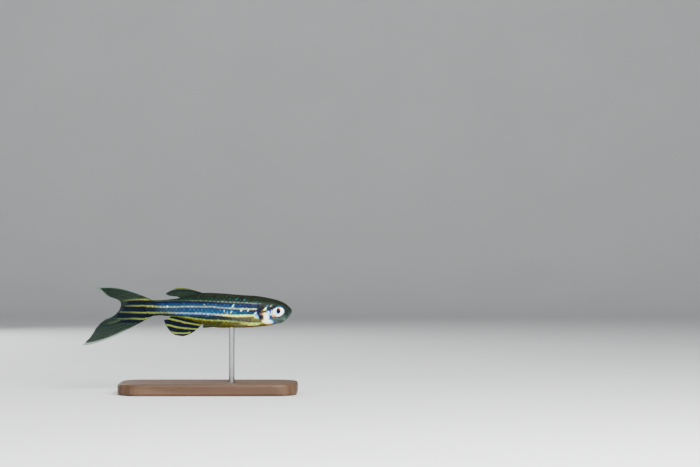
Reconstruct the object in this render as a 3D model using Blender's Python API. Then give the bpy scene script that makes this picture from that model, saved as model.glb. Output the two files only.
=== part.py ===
"""Long-finned zebra danio, life size, as a still display model on a small stand.

Metres, +Z up. The snout points along +X and the fish's right side faces -Y.
The origin is the middle of the stand's underside, so the model stands on Z = 0.
Fish shapes are worked out in the fish's own coordinates: s runs back from the
snout along the body, y is across it and z is up from the body's axis.
"""

import math

import bmesh
import bpy
import numpy as np
from mathutils import Matrix, Vector

MM = 0.001

# Driving sizes
STANDARD_LENGTH = 36.0 * MM  # snout to the root of the tail fin
GAP = 0.3 * MM  # between neighbouring pieces
ROD_AT = 15.5 * MM  # s of the stand's rod
ROD_RADIUS = 0.75 * MM
ROD_SUNK = 1.2 * MM  # length of rod inside the belly
ROD_SHOWN = 14.0 * MM  # from the top of the base to the belly
BASE_LENGTH = 46.0 * MM
BASE_WIDTH = 22.0 * MM
BASE_HEIGHT = 3.0 * MM
BASE_CORNER = 6.0 * MM
BASE_BEVEL = 0.6 * MM
ROD_AHEAD = 6.0 * MM  # the rod stands this far ahead of the base's middle
SOCKET_DEPTH = 2.0 * MM  # hole in the base that holds the rod's foot

# Body outline by share of the standard length: top, bottom and half width
BODY_STATIONS = (
    (0.000, 0.004, 0.004, 0.000),
    (0.018, 0.0362, -0.0345, 0.0215),
    (0.054, 0.0650, -0.0640, 0.0375),
    (0.100, 0.0845, -0.0830, 0.0490),
    (0.161, 0.0992, -0.0978, 0.0580),
    (0.232, 0.1115, -0.1058, 0.0635),
    (0.375, 0.1214, -0.1128, 0.0690),
    (0.518, 0.1328, -0.1130, 0.0660),
    (0.625, 0.1364, -0.0900, 0.0550),
    (0.733, 0.1130, -0.0590, 0.0410),
    (0.875, 0.0880, -0.0310, 0.0255),
    (0.950, 0.0828, -0.0255, 0.0180),
    (1.000, 0.0840, -0.0290, 0.0125),
)
WIDEST_AT = 0.54  # height of the widest line, as a share of the depth
ROUNDNESS = 2.2  # 2 is an ellipse, more is boxier
TAIL_SWING = 1.3 * MM  # how far the tail's root has swung to the fish's left
SWING_FROM = 0.45  # share of the length where the swing begins

# Where the body parts into head, torso and tail
GILL_SIDE = 8.7 * MM
GILL_NAPE = 7.4 * MM
GILL_THROAT = 6.2 * MM
GILL_LIFT = 0.09  # the gill cover stands out by this share of the half width
GILL_RISE = (0.62, 0.92)  # shares of the head's length where it rises and is full
VENT = 22.0 * MM

EYE_AT = (3.35 * MM, 1.28 * MM, 0.13 * MM)  # s, y and z of its middle
EYE_RADII = (1.66 * MM, 0.76 * MM, 1.60 * MM)

MOUTH_FRONT = 0.10 * MM  # s of the mouth's foremost point
MOUTH_CORNER = (1.20 * MM, -1.22 * MM)  # s and z
MOUTH_OPENING = 0.20 * MM
MOUTH_TILT = math.radians(53)
LIP_RADIUS = 0.25 * MM

NOSTRILS = ((0.82 * MM, 0.72, 0.15 * MM), (1.20 * MM, 0.70, 0.19 * MM))  # s, angle, radius

BARBEL_RADIUS = 0.26 * MM
BARBEL_SUNK = 0.35 * MM
# Name, s and angle of the root, length and droop
BARBELS = (
    ("snout_barbel", 0.70 * MM, 1.42, 2.3 * MM, 0.75),
    ("mouth_barbel", 1.55 * MM, 2.10, 4.3 * MM, 0.62),
)

# First and last s of the roots of the unpaired fins
DORSAL_ROOT = (22.4 * MM, 28.6 * MM)
ANAL_ROOT = (23.0 * MM, 31.0 * MM)

# Rays of each fin
CAUDAL_RAYS_UPPER = 10
CAUDAL_RAYS_LOWER = 9
DORSAL_RAYS = 10
ANAL_RAYS = 14
PECTORAL_RAYS = 12
PELVIC_RAYS = 8

FIN_ROOT = 0.58 * MM  # thickness of a fin at its root
FIN_TIP = 0.34 * MM  # and at its margin
RAY_RIDGE = 0.11 * MM  # height of a ray over each face, at the root

TUBE_GUIDE = Vector((0.13, 0.31, 0.94))  # sets how the rings of a tube are turned


def smooth_curve(stations, values, at):
    """Smooth monotone curve through the stations, read at one place or an array."""
    x = np.asarray(stations, float)
    y = np.asarray(values, float)
    step = np.diff(x)
    rise = np.diff(y, axis=0)
    slope = rise / step.reshape((-1,) + (1,) * (y.ndim - 1))
    tangent = np.zeros_like(y)
    tangent[0], tangent[-1] = slope[0], slope[-1]
    same_way = slope[:-1] * slope[1:] > 0
    total = np.where(same_way, slope[:-1] + slope[1:], 1.0)
    tangent[1:-1] = np.where(same_way, 2 * slope[:-1] * slope[1:] / total, 0.0)
    at = np.clip(np.asarray(at, float), x[0], x[-1])
    k = np.clip(np.searchsorted(x, at, side="right") - 1, 0, len(x) - 2)
    h = step[k]
    t = (at - x[k]) / h
    if y.ndim > 1:
        t, h = t[..., None], h[..., None]
    return (
        y[k] * (2 * t**3 - 3 * t**2 + 1)
        + tangent[k] * h * (t**3 - 2 * t**2 + t)
        + y[k + 1] * (3 * t**2 - 2 * t**3)
        + tangent[k + 1] * h * (t**3 - t**2)
    )


def body_outline(s):
    """Top, bottom and half width of the body at s. The root makes the snout blunt."""
    table = np.array(BODY_STATIONS)
    share = np.clip(s / STANDARD_LENGTH, 0, 1)
    found = smooth_curve(np.sqrt(table[:, 0]), table[:, 1:], np.sqrt(share))
    return found * STANDARD_LENGTH


def spine_swing(s):
    """How far the body's middle line has swung to the left at s."""
    past = max(0.0, s / STANDARD_LENGTH - SWING_FROM) / (1 - SWING_FROM)
    return TAIL_SWING * past**2


def body_point(s, angle, lift=0.0):
    """Point of the body's surface. The angle runs from the back round the right side."""
    top, bottom, half_width = body_outline(s)
    middle = bottom + (top - bottom) * WIDEST_AT
    across, up = math.sin(angle), math.cos(angle)
    power = 2 / ROUNDNESS
    y = math.copysign(abs(across) ** power, across) * half_width * (1 + lift)
    reach = top - middle if up > 0 else middle - bottom
    z = middle + math.copysign(abs(up) ** power, up) * reach
    return Vector((-s, spine_swing(s) - y, z))


def half_width_at(s, z):
    """Half the body's width at the height z, nothing above or below the body."""
    top, bottom, half_width = body_outline(s)
    middle = bottom + (top - bottom) * WIDEST_AT
    reach = top - middle if z > middle else middle - bottom
    share = min(1.0, abs(z - middle) / reach)
    return half_width * (1 - share**ROUNDNESS) ** (1 / ROUNDNESS)


def body_normal(s, angle):
    """Outward direction of the body's surface."""
    small_s, small_angle = 0.1 * MM, 0.02
    along = body_point(s + small_s, angle) - body_point(s - small_s, angle)
    around = body_point(s, angle + small_angle) - body_point(s, angle - small_angle)
    return along.cross(around).normalized()


def gill_edge(angle):
    """s of the gill cover's rear edge, furthest back at the middle of each side."""
    end = GILL_NAPE if math.cos(angle) > 0 else GILL_THROAT
    return end + (GILL_SIDE - end) * math.sin(angle) ** 2


def material(name, colour, roughness, metallic=0.0, alpha=1.0):
    """A plain Principled material."""
    made = bpy.data.materials.new(name)
    made.use_nodes = True
    shader = made.node_tree.nodes["Principled BSDF"]
    shader.inputs["Base Color"].default_value = (*colour, 1.0)
    shader.inputs["Roughness"].default_value = roughness
    shader.inputs["Metallic"].default_value = metallic
    shader.inputs["Alpha"].default_value = alpha
    made.diffuse_color = (*colour, alpha)
    return made


def mesh_object(name, points, faces, finish, parent):
    """A named object from points and faces."""
    mesh = bpy.data.meshes.new(name)
    mesh.from_pydata([tuple(p) for p in points], [], faces)
    mesh.materials.append(finish)
    made = bpy.data.objects.new(name, mesh)
    bpy.context.scene.collection.objects.link(made)
    made.parent = parent
    return made


def shade(obj, sharp_degrees=40):
    """Smooth shading with sharp edges kept."""
    obj.data.shade_smooth()
    obj.data.set_sharp_from_angle(angle=math.radians(sharp_degrees))


def lofted(rings, front, back):
    """Points and faces of a closed shape through rings, each closed by a fan."""
    count = len(rings[0])
    points = [front] + [p for ring in rings for p in ring] + [back]
    last = len(points) - 1
    faces = []
    for k in range(count):
        after = (k + 1) % count
        faces.append((0, 1 + k, 1 + after))
        for i in range(len(rings) - 1):
            a, b = 1 + i * count, 1 + (i + 1) * count
            faces.append((a + k, b + k, b + after, a + after))
        end = 1 + (len(rings) - 1) * count
        faces.append((last, end + after, end + k))
    return points, faces


def ring_angles(count):
    return [2 * math.pi * k / count for k in range(count)]


def apply_modifiers(obj):
    """Replaces the object's mesh by what its modifiers make of it."""
    graph = bpy.context.evaluated_depsgraph_get()
    made = bpy.data.meshes.new_from_object(obj.evaluated_get(graph))
    obj.modifiers.clear()
    obj.data = made


def boolean(obj, others, operation):
    """Joins or cuts with a collection of closed meshes, and removes them."""
    held = bpy.data.collections.new(obj.name + "_" + operation.lower())
    bpy.context.scene.collection.children.link(held)
    for other in others:
        bpy.context.scene.collection.objects.unlink(other)
        held.objects.link(other)
    modifier = obj.modifiers.new(operation.title(), "BOOLEAN")
    modifier.operation = operation
    modifier.operand_type = "COLLECTION"
    modifier.collection = held
    modifier.solver = "EXACT"
    bpy.context.view_layer.update()
    apply_modifiers(obj)
    for other in others:
        bpy.data.objects.remove(other)
    bpy.data.collections.remove(held)


def keep_largest_surface(obj):
    """Removes every closed surface but the largest from the object's mesh."""
    work = bmesh.new()
    work.from_mesh(obj.data)
    unseen, shells = set(work.faces), []
    while unseen:
        shell, front = set(), [unseen.pop()]
        while front:
            face = front.pop()
            shell.add(face)
            for edge in face.edges:
                for other in edge.link_faces:
                    if other in unseen:
                        unseen.discard(other)
                        front.append(other)
        shells.append(shell)
    shells.sort(key=lambda shell: sum(face.calc_area() for face in shell))
    scraps = [face for shell in shells[:-1] for face in shell]
    bmesh.ops.delete(work, geom=scraps, context="FACES")
    work.to_mesh(obj.data)
    work.free()


def ball(name, centre, radii, finish, parent, segments=20):
    """An ellipsoid."""
    work = bmesh.new()
    bmesh.ops.create_uvsphere(work, u_segments=segments, v_segments=segments // 2, radius=1.0)
    bmesh.ops.scale(work, vec=Vector(radii), verts=work.verts)
    bmesh.ops.translate(work, vec=Vector(centre), verts=work.verts)
    mesh = bpy.data.meshes.new(name)
    work.to_mesh(mesh)
    work.free()
    mesh.materials.append(finish)
    made = bpy.data.objects.new(name, mesh)
    bpy.context.scene.collection.objects.link(made)
    made.parent = parent
    return made


def tube(name, path, radii, finish, parent, sides=8):
    """A round closed rod along a path, with a radius at each point."""
    rings = []
    for k, (point, radius) in enumerate(zip(path, radii)):
        before, after = path[max(k - 1, 0)], path[min(k + 1, len(path) - 1)]
        along = (after - before).normalized()
        side = along.cross(TUBE_GUIDE).normalized()
        other = along.cross(side)
        rings.append(
            [
                point + (side * math.cos(a) + other * math.sin(a)) * radius
                for a in ring_angles(sides)
            ]
        )
    points, faces = lofted(rings, path[0], path[-1])
    made = mesh_object(name, points, faces, finish, parent)
    outward(made)
    return made


def outward(obj):
    """Points every face of a closed mesh outwards."""
    work = bmesh.new()
    work.from_mesh(obj.data)
    bmesh.ops.recalc_face_normals(work, faces=work.faces)
    work.to_mesh(obj.data)
    work.free()


def mirrored(s, y, z, side):
    """A point of the right side (side 1) or its twin on the left (side -1)."""
    return Vector((-s, -y * side, z))


def body_length(name, first, last, rows, sides, finish, parent):
    """A length of the torso or tail between two rings, whose s may vary round the body."""
    angles = ring_angles(sides)
    rings = []
    for i in range(rows + 1):
        share = i / rows
        rings.append(
            [body_point(first(a) * (1 - share) + last(a) * share, a) for a in angles]
        )
    made = mesh_object(name, *closed_body(rings, first, last), finish, parent)
    outward(made)
    shade(made)
    return made


def closed_body(rings, first, last):
    """A loft whose end fans meet on the body's middle line."""

    def middle(edge):
        s = (edge(0) + edge(math.pi)) / 2
        top, bottom, _ = body_outline(s)
        return Vector((-s, spine_swing(s), (top + bottom) / 2))

    return lofted(rings, middle(first), middle(last))


def gill_cover_lift(s, angle):
    """How far the gill cover stands out, rising behind the cheek on each side."""
    starts, full = [share * gill_edge(angle) for share in GILL_RISE]
    behind_cheek = min(1.0, max(0.0, (s - starts) / (full - starts)))
    return GILL_LIFT * behind_cheek**2 * math.sin(angle) ** 2


def head_shell(parent, finish, rows=26, sides=36):
    """The head's outer form, from a blunt snout to the gill cover's rear edge."""
    rings = []
    for i in range(1, rows + 1):
        share = (i / rows) ** 1.5
        ring = []
        for a in ring_angles(sides):
            s = gill_edge(a) * share
            ring.append(body_point(s, a, gill_cover_lift(s, a)))
        rings.append(ring)
    s_back = (GILL_NAPE + GILL_THROAT) / 2
    top, bottom, _ = body_outline(s_back)
    back = Vector((-s_back, 0, (top + bottom) / 2))
    front = body_point(0.0, 0.0)
    points, faces = lofted(rings, front, back)
    made = mesh_object("head", points, faces, finish, parent)
    outward(made)
    return made


def lips(parent, finish):
    """Upper and lower lip, as bent rolls that follow the jaw's front."""
    made = []
    corner_s, corner_z = MOUTH_CORNER
    upward = Vector((-math.sin(MOUTH_TILT), 0, math.cos(MOUTH_TILT)))
    steps = 12
    for name, lift in (("upper_lip", 1), ("lower_lip", -1)):
        path, radii = [], []
        for k in range(steps + 1):
            turn = math.pi * (k / steps - 0.5)
            s = corner_s - (corner_s - MOUTH_FRONT) * math.cos(turn)
            z = corner_z + (corner_s - s) * math.tan(MOUTH_TILT)
            radius = LIP_RADIUS * (0.55 + 0.45 * math.cos(turn))
            y = math.copysign(max(0, half_width_at(s, z) - radius * 0.35), turn)
            path.append(Vector((-s, y, z)) + upward * lift * (MOUTH_OPENING / 2 + radius * 0.55))
            radii.append(radius)
        made.append(tube(name, path, radii, finish, parent, sides=7))
    return made


def barbels(parent, finish):
    """Two pairs of feelers: short ones above the mouth, long ones at its corners."""
    made = []
    steps = 9
    for side in (1, -1):
        for name, s, angle, length, droop in BARBELS:
            out = body_normal(s, angle * side)
            point = body_point(s, angle * side) - out * BARBEL_SUNK
            path, radii = [point], [BARBEL_RADIUS]
            for k in range(1, steps + 1):
                share = k / steps
                lie = out * 1.5 * (1 - share) ** 2 + Vector((-0.35 - 0.8 * share, 0, -droop))
                point = point + lie.normalized() * length / steps
                path.append(point)
                radii.append(BARBEL_RADIUS * (1 - 0.62 * share**1.5))
            made.append(tube(f"{name}_{side}", path, radii, finish, parent, sides=6))
    return made


def make_head(parent, finish):
    """Head with lips and barbels joined on, and orbits, mouth and nostrils cut in."""
    head = head_shell(parent, finish)
    boolean(head, lips(parent, finish) + barbels(parent, finish), "UNION")
    cutters = []
    eye_s, eye_y, eye_z = EYE_AT
    for side in (1, -1):
        radii = [r + GAP for r in EYE_RADII]
        centre = mirrored(eye_s, eye_y, eye_z, side)
        cutters.append(ball(f"orbit_{side}", centre, radii, finish, parent, 24))
        for s, angle, radius in NOSTRILS:
            pit = body_point(s, angle * side)
            cutters.append(ball(f"nostril_{side}_{s}", pit, [radius] * 3, finish, parent, 10))
    cutters.append(mouth_slit(parent, finish))
    boolean(head, cutters, "DIFFERENCE")
    keep_largest_surface(head)
    shade(head)
    return head


def mouth_slit(parent, finish):
    """A thin slab that opens the mouth back to its corners."""
    corner_s, corner_z = MOUTH_CORNER
    length, width = 4 * MM, 6 * MM
    work = bmesh.new()
    bmesh.ops.create_cube(work, size=1.0)
    bmesh.ops.scale(work, vec=Vector((length, width, MOUTH_OPENING)), verts=work.verts)
    mesh = bpy.data.meshes.new("mouth_slit")
    work.to_mesh(mesh)
    work.free()
    mesh.transform(Matrix.Rotation(-MOUTH_TILT, 4, "Y"))
    middle = Vector((math.cos(MOUTH_TILT), 0, math.sin(MOUTH_TILT))) * length / 2
    for vertex in mesh.vertices:
        vertex.co += middle + Vector((-corner_s, 0, corner_z))
    mesh.materials.append(finish)
    slit = bpy.data.objects.new("mouth_slit", mesh)
    bpy.context.scene.collection.objects.link(slit)
    slit.parent = parent
    return slit


def fin_surface(curves, rays, rows):
    """Grid of points of a fin whose rays are bent lines from the root to the margin.

    curves holds the root, two curves that steer the rays, and the margin, each a
    function of the share across the rays. Every second column is a ray.
    """
    columns = 2 * (rays - 1)
    grid = []
    for j in range(rows + 1):
        v = (j / rows) ** 0.9
        weights = ((1 - v) ** 3, 3 * v * (1 - v) ** 2, 3 * v**2 * (1 - v), v**3)
        row = []
        for k in range(columns + 1):
            row.append(sum(w * curve(k / columns) for w, curve in zip(weights, curves)))
        grid.append(row)
    return np.array(grid)


def fin_solid(name, grid, finish, parent):
    """A thin closed fin about a grid of points, thinner to the margin, rays raised."""
    rows, columns = grid.shape[0] - 1, grid.shape[1] - 1
    down = np.gradient(grid, axis=0)
    across = np.gradient(grid, axis=1)
    normal = np.cross(down, across)
    normal /= np.linalg.norm(normal, axis=2, keepdims=True)
    v = np.linspace(0, 1, rows + 1)[:, None]
    half = (FIN_ROOT + (FIN_TIP - FIN_ROOT) * v**2) / 2
    half = np.repeat(half, columns + 1, axis=1)
    half[:, ::2] += RAY_RIDGE * (1 - 0.5 * v)
    upper = (grid + normal * half[..., None]).reshape(-1, 3)
    lower = (grid - normal * half[..., None]).reshape(-1, 3)
    total = len(upper)
    wide = columns + 1
    faces = []
    for j in range(rows):
        for k in range(columns):
            a, b = j * wide + k, j * wide + k + 1
            c, d = a + wide, b + wide
            for one, two, three in ((a, b, d), (a, d, c)):
                faces.append((one, two, three))
                faces.append((total + three, total + two, total + one))
    rim = [k for k in range(wide)]
    rim += [j * wide + columns for j in range(1, rows + 1)]
    rim += [rows * wide + k for k in range(columns - 1, -1, -1)]
    rim += [j * wide for j in range(rows - 1, 0, -1)]
    for here, after in zip(rim, rim[1:] + rim[:1]):
        faces.append((after, here, total + here))
        faces.append((after, total + here, total + after))
    made = mesh_object(name, np.vstack([upper, lower]), faces, finish, parent)
    outward(made)
    shade(made, 25)
    return made


def side_curve(points, sway):
    """A curve through (s, z) points in mm, read by share, with a sway across in mm."""
    points = np.array(points, float)
    steps = np.linalg.norm(np.diff(points, axis=0), axis=1)
    shares = np.concatenate([[0], np.cumsum(steps)]) / steps.sum()

    def read(u):
        s, z = smooth_curve(shares, points, u) * MM
        return np.array([-s, spine_swing(s) + sway(u) * MM, z])

    return read


def caudal_fin(parent, finish):
    """The forked tail fin, parted at the fork into its two lobes."""
    top, bottom, _ = body_outline(STANDARD_LENGTH) / MM
    root_s = (STANDARD_LENGTH + GAP) / MM
    fork_z = bottom + (top - bottom) * 0.56
    above, below = fork_z + GAP / MM / 2, fork_z - GAP / MM / 2
    fork_s, fork_rise = 44.35, 0.4

    upper = (
        side_curve([(root_s, top + 0.1), (root_s, above)], lambda u: 0.0),
        side_curve([(41.6, 5.2), (40.4, 3.3), (39.6, above + 0.15)], lambda u: 0.1),
        side_curve([(44.6, 6.9), (43.4, 4.6), (42.0, above + 0.3)], lambda u: 0.7 * (1 - u)),
        side_curve(
            [(51.3, 6.1), (48.8, 4.25), (47.0, 3.6), (45.4, 3.1), (44.5, 2.4), (fork_s, above + fork_rise)],
            lambda u: 3.6 * (1 - u) ** 1.3,
        ),
    )
    lower = (
        side_curve([(root_s, below), (root_s, bottom - 0.1)], lambda u: 0.0),
        side_curve([(38.9, below + 0.1), (39.4, -0.6), (40.8, -3.5)], lambda u: -0.1 * u),
        side_curve([(41.6, below + 0.3), (44.6, -1.8), (48.0, -8.15)], lambda u: -0.6 * u),
        side_curve(
            [
                (fork_s, below + fork_rise),
                (44.95, 0.2),
                (46.6, -1.3),
                (48.7, -2.25),
                (50.7, -4.1),
                (51.95, -6.1),
                (54.0, -8.35),
            ],
            lambda u: -2.6 * u**1.5,
        ),
    )
    fin_solid("caudal_fin_upper", fin_surface(upper, CAUDAL_RAYS_UPPER, 10), finish, parent)
    fin_solid("caudal_fin_lower", fin_surface(lower, CAUDAL_RAYS_LOWER, 11), finish, parent)


def root_along(first, last, clearance, below=False):
    """Root line of a fin on the back or under the belly, kept clear of the body."""

    def read(u):
        s = first + (last - first) * u
        top, bottom, _ = body_outline(s)
        return np.array([-s, spine_swing(s), bottom - clearance if below else top + clearance])

    return read


def dorsal_fin(parent, finish):
    """The dorsal fin, folded back so that its first ray makes the upper edge."""
    curves = (
        root_along(*DORSAL_ROOT, GAP),
        side_curve([(25.3, 5.7), (27.4, 4.8), (29.2, 3.95)], lambda u: 0.1),
        side_curve([(30.4, 7.5), (30.1, 5.5), (29.8, 4.0)], lambda u: 0.3),
        side_curve([(32.8, 4.5), (31.7, 4.1), (30.5, 3.98)], lambda u: 0.9 - 0.5 * u),
    )
    fin_solid("dorsal_fin", fin_surface(curves, DORSAL_RAYS, 8), finish, parent)


def anal_fin(parent, finish):
    """The anal fin, half spread, from just behind the vent."""
    curves = (
        root_along(*ANAL_ROOT, GAP, below=True),
        side_curve([(24.6, -4.85), (28.0, -3.2), (31.6, -1.75)], lambda u: -0.1),
        side_curve([(26.2, -6.0), (29.8, -4.6), (32.4, -1.95)], lambda u: -0.25),
        side_curve(
            [(28.2, -6.3), (30.0, -6.05), (31.3, -5.2), (32.3, -3.9), (33.1, -2.2)],
            lambda u: 0.4 * u - 0.8,
        ),
    )
    fin_solid("anal_fin", fin_surface(curves, ANAL_RAYS, 8), finish, parent)


def paired_fin(name, side, base, open_angle, fan, lengths, rays, parent, finish):
    """A fan-shaped fin on one side, whose rays leave the body's surface by open_angle.

    base holds s and angle of the root's first and last ray, fan the turn of the
    first and last ray round the body, lengths the first, longest and last ray.
    """
    (s_first, angle_first), (s_last, angle_last) = base
    clear = GAP + FIN_ROOT / 2

    def surface(u):
        s = s_first + (s_last - s_first) * u
        angle = angle_first + (angle_last - angle_first) * u
        normal = body_normal(s, angle)
        back = (Vector((-1, 0, 0)) + normal * normal.x).normalized()
        return body_point(s, angle), normal, back, normal.cross(back)

    def handed(vector):
        return np.array([vector.x, vector.y * side, vector.z])

    def ray(u, share, opened):
        _, normal, back, down = surface(u)
        turn = fan[0] + (fan[1] - fan[0]) * u
        flat = back * math.cos(turn) + down * math.sin(turn)
        way = flat * math.cos(opened) + normal * math.sin(opened)
        length = float(smooth_curve([0, 0.3, 1], np.array(lengths), u)) * MM
        return handed(way) * length * share

    def root(u):
        point, normal, _, _ = surface(u)
        return handed(point + normal * clear)

    curves = (
        root,
        lambda u: root(u) + ray(u, 0.33, open_angle * 1.3),
        lambda u: root(u) + ray(u, 0.67, open_angle * 1.2),
        lambda u: root(u) + ray(u, 1.0, open_angle),
    )
    fin_solid(name, fin_surface(curves, rays, 7), finish, parent)


def paired_fins(parent, finish):
    """Pectoral fins behind the gill covers and pelvic fins under the belly."""
    for side, tag in ((1, "right"), (-1, "left")):
        paired_fin(
            f"pectoral_fin_{tag}",
            side,
            ((9.5 * MM, 1.86), (10.2 * MM, 2.26)),
            math.radians(22),
            (math.radians(0), math.radians(16)),
            (7.6, 6.6, 3.2),
            PECTORAL_RAYS,
            parent,
            finish,
        )
        paired_fin(
            f"pelvic_fin_{tag}",
            side,
            ((17.2 * MM, 2.25), (18.0 * MM, 2.55)),
            math.radians(4),
            (math.radians(0), math.radians(4)),
            (5.0, 5.4, 4.8),
            PELVIC_RAYS,
            parent,
            finish,
        )


def rod_cutter(finish, parent, bottom, top, s):
    """A cylinder a little wider than the rod, to make its socket."""
    path = [Vector((-s, 0, bottom)), Vector((-s, 0, top))]
    radius = ROD_RADIUS + GAP
    return tube("rod_socket", path, [radius, radius], finish, parent, sides=20)


def stand(fish_z, rod_x, base_finish, rod_finish):
    """A low rounded base with one rod that runs up into the belly."""
    work = bmesh.new()
    corner = [
        (BASE_LENGTH / 2 - BASE_CORNER, BASE_WIDTH / 2 - BASE_CORNER, 0),
        (-BASE_LENGTH / 2 + BASE_CORNER, BASE_WIDTH / 2 - BASE_CORNER, 90),
        (-BASE_LENGTH / 2 + BASE_CORNER, -BASE_WIDTH / 2 + BASE_CORNER, 180),
        (BASE_LENGTH / 2 - BASE_CORNER, -BASE_WIDTH / 2 + BASE_CORNER, 270),
    ]
    outline = []
    for x, y, start in corner:
        for k in range(9):
            turn = math.radians(start + 90 * k / 8)
            arc_x, arc_y = BASE_CORNER * math.cos(turn), BASE_CORNER * math.sin(turn)
            outline.append(work.verts.new((x + arc_x, y + arc_y, 0)))
    floor = work.faces.new(outline)
    raised = bmesh.ops.extrude_face_region(work, geom=[floor])["geom"]
    lifted = [part for part in raised if isinstance(part, bmesh.types.BMVert)]
    bmesh.ops.translate(work, vec=Vector((0, 0, BASE_HEIGHT)), verts=lifted)
    mesh = bpy.data.meshes.new("stand_base")
    work.to_mesh(mesh)
    work.free()
    mesh.materials.append(base_finish)
    base = bpy.data.objects.new("stand_base", mesh)
    bpy.context.scene.collection.objects.link(base)
    outward(base)
    bevel = base.modifiers.new("Bevel", "BEVEL")
    bevel.width = BASE_BEVEL
    bevel.segments = 2
    bevel.limit_method = "ANGLE"
    bpy.context.view_layer.update()
    apply_modifiers(base)
    socket_floor = BASE_HEIGHT - SOCKET_DEPTH
    hole = rod_cutter(base_finish, None, socket_floor, BASE_HEIGHT + 2 * MM, -rod_x)
    boolean(base, [hole], "DIFFERENCE")
    shade(base)

    _, belly, _ = body_outline(ROD_AT)
    path = [
        Vector((rod_x, 0, socket_floor + GAP)),
        Vector((rod_x, 0, fish_z + belly + ROD_SUNK - GAP)),
    ]
    rod = tube("stand_rod", path, [ROD_RADIUS] * 2, rod_finish, None, sides=20)
    shade(rod)


def main():
    for old in list(bpy.data.objects):
        bpy.data.objects.remove(old)

    skin = material("skin", (0.16, 0.24, 0.42), 0.35, 0.4)
    head_skin = material("head_skin", (0.62, 0.60, 0.50), 0.35, 0.3)
    fin = material("fin", (0.42, 0.42, 0.22), 0.45, 0.0, 0.7)
    eye = material("eye", (0.88, 0.88, 0.84), 0.15, 0.3)
    walnut = material("walnut", (0.14, 0.085, 0.055), 0.4)
    steel = material("steel", (0.62, 0.62, 0.62), 0.25, 1.0)

    _, belly, _ = body_outline(ROD_AT)
    fish_z = BASE_HEIGHT + ROD_SHOWN - belly
    fish = bpy.data.objects.new("fish", None)
    bpy.context.scene.collection.objects.link(fish)
    fish.location = (ROD_AHEAD + ROD_AT, 0, fish_z)

    make_head(fish, head_skin)
    eye_s, eye_y, eye_z = EYE_AT
    for side, tag in ((1, "right"), (-1, "left")):
        centre = mirrored(eye_s, eye_y, eye_z, side)
        made = ball(f"eye_{tag}", centre, EYE_RADII, eye, fish, 20)
        shade(made)

    torso = body_length(
        "torso", lambda a: gill_edge(a) + GAP, lambda a: VENT, 16, 32, skin, fish
    )
    socket = rod_cutter(skin, fish, belly - 3 * MM, belly + ROD_SUNK, ROD_AT)
    boolean(torso, [socket], "DIFFERENCE")
    keep_largest_surface(torso)
    body_length(
        "tail",
        lambda a: VENT + GAP,
        lambda a: STANDARD_LENGTH,
        14,
        28,
        skin,
        fish,
    )
    caudal_fin(fish, fin)
    dorsal_fin(fish, fin)
    anal_fin(fish, fin)
    paired_fins(fish, fin)
    stand(fish_z, ROD_AHEAD, walnut, steel)


main()
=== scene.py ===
"""Looks of a long-finned zebra danio on its display stand.

Fish shapes are worked out in millimetres in the fish's own coordinates: s runs
back from the snout, y is to the fish's left and z is up from the body's axis.
The fish's right side faces the camera. Only finished points are in metres.
"""

import math
from functools import partial
from typing import Callable, NamedTuple

import bpy
import numpy as np
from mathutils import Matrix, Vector


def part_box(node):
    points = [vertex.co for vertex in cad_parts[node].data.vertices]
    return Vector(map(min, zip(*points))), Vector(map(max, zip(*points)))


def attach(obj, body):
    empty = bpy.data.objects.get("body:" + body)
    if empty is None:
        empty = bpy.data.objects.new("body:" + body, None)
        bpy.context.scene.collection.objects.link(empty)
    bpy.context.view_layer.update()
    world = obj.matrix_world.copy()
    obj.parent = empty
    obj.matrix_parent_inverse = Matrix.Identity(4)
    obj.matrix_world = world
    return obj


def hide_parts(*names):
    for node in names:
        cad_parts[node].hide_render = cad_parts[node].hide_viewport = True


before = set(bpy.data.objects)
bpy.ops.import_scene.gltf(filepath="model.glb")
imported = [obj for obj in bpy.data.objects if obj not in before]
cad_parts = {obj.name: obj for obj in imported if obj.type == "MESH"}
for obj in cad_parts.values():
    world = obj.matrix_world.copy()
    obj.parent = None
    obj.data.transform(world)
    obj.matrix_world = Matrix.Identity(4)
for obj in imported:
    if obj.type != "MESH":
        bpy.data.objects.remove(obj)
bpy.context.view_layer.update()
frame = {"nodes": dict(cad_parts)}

# Body, as in the solids
STANDARD_LENGTH = 36.0
BODY_STATIONS = np.array(
    (
        (0.000, 0.004, 0.004, 0.000),
        (0.018, 0.0362, -0.0345, 0.0215),
        (0.054, 0.0650, -0.0640, 0.0375),
        (0.100, 0.0845, -0.0830, 0.0490),
        (0.161, 0.0992, -0.0978, 0.0580),
        (0.232, 0.1115, -0.1058, 0.0635),
        (0.375, 0.1214, -0.1128, 0.0690),
        (0.518, 0.1328, -0.1130, 0.0660),
        (0.625, 0.1364, -0.0900, 0.0550),
        (0.733, 0.1130, -0.0590, 0.0410),
        (0.875, 0.0880, -0.0310, 0.0255),
        (0.950, 0.0828, -0.0255, 0.0180),
        (1.000, 0.0840, -0.0290, 0.0125),
    )
)
WIDEST_AT = 0.54
ROUNDNESS = 2.2
TAIL_SWING = 1.3
SWING_FROM = 0.45
SKIN_END = 37.5  # the flesh runs on over the roots of the tail fin's rays
GILL_SIDE = 8.7
GILL_NAPE = 7.4
GILL_THROAT = 6.2
GILL_LIFT = 0.09
GILL_RISE = (0.62, 0.92)

# Head
EYE_AT = (3.35, 1.28, 0.13)
EYE_RADII = (1.66, 0.76, 1.60)
# The iris's silver, an ellipse that leans back, and the pupil, in the side view
WHITE_AT = (3.58, 0.01)
WHITE_RADII = (1.69, 1.21)
WHITE_TURN = math.radians(-19)
PUPIL_AT = (3.38, 0.31)
PUPIL_RADII = (0.55, 0.77)
MOUTH_CORNER = (1.20, -1.22)
MOUTH_TILT = math.radians(53)
NOSTRILS = ((0.82, 0.72, 0.10), (1.20, 0.70, 0.14))
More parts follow.
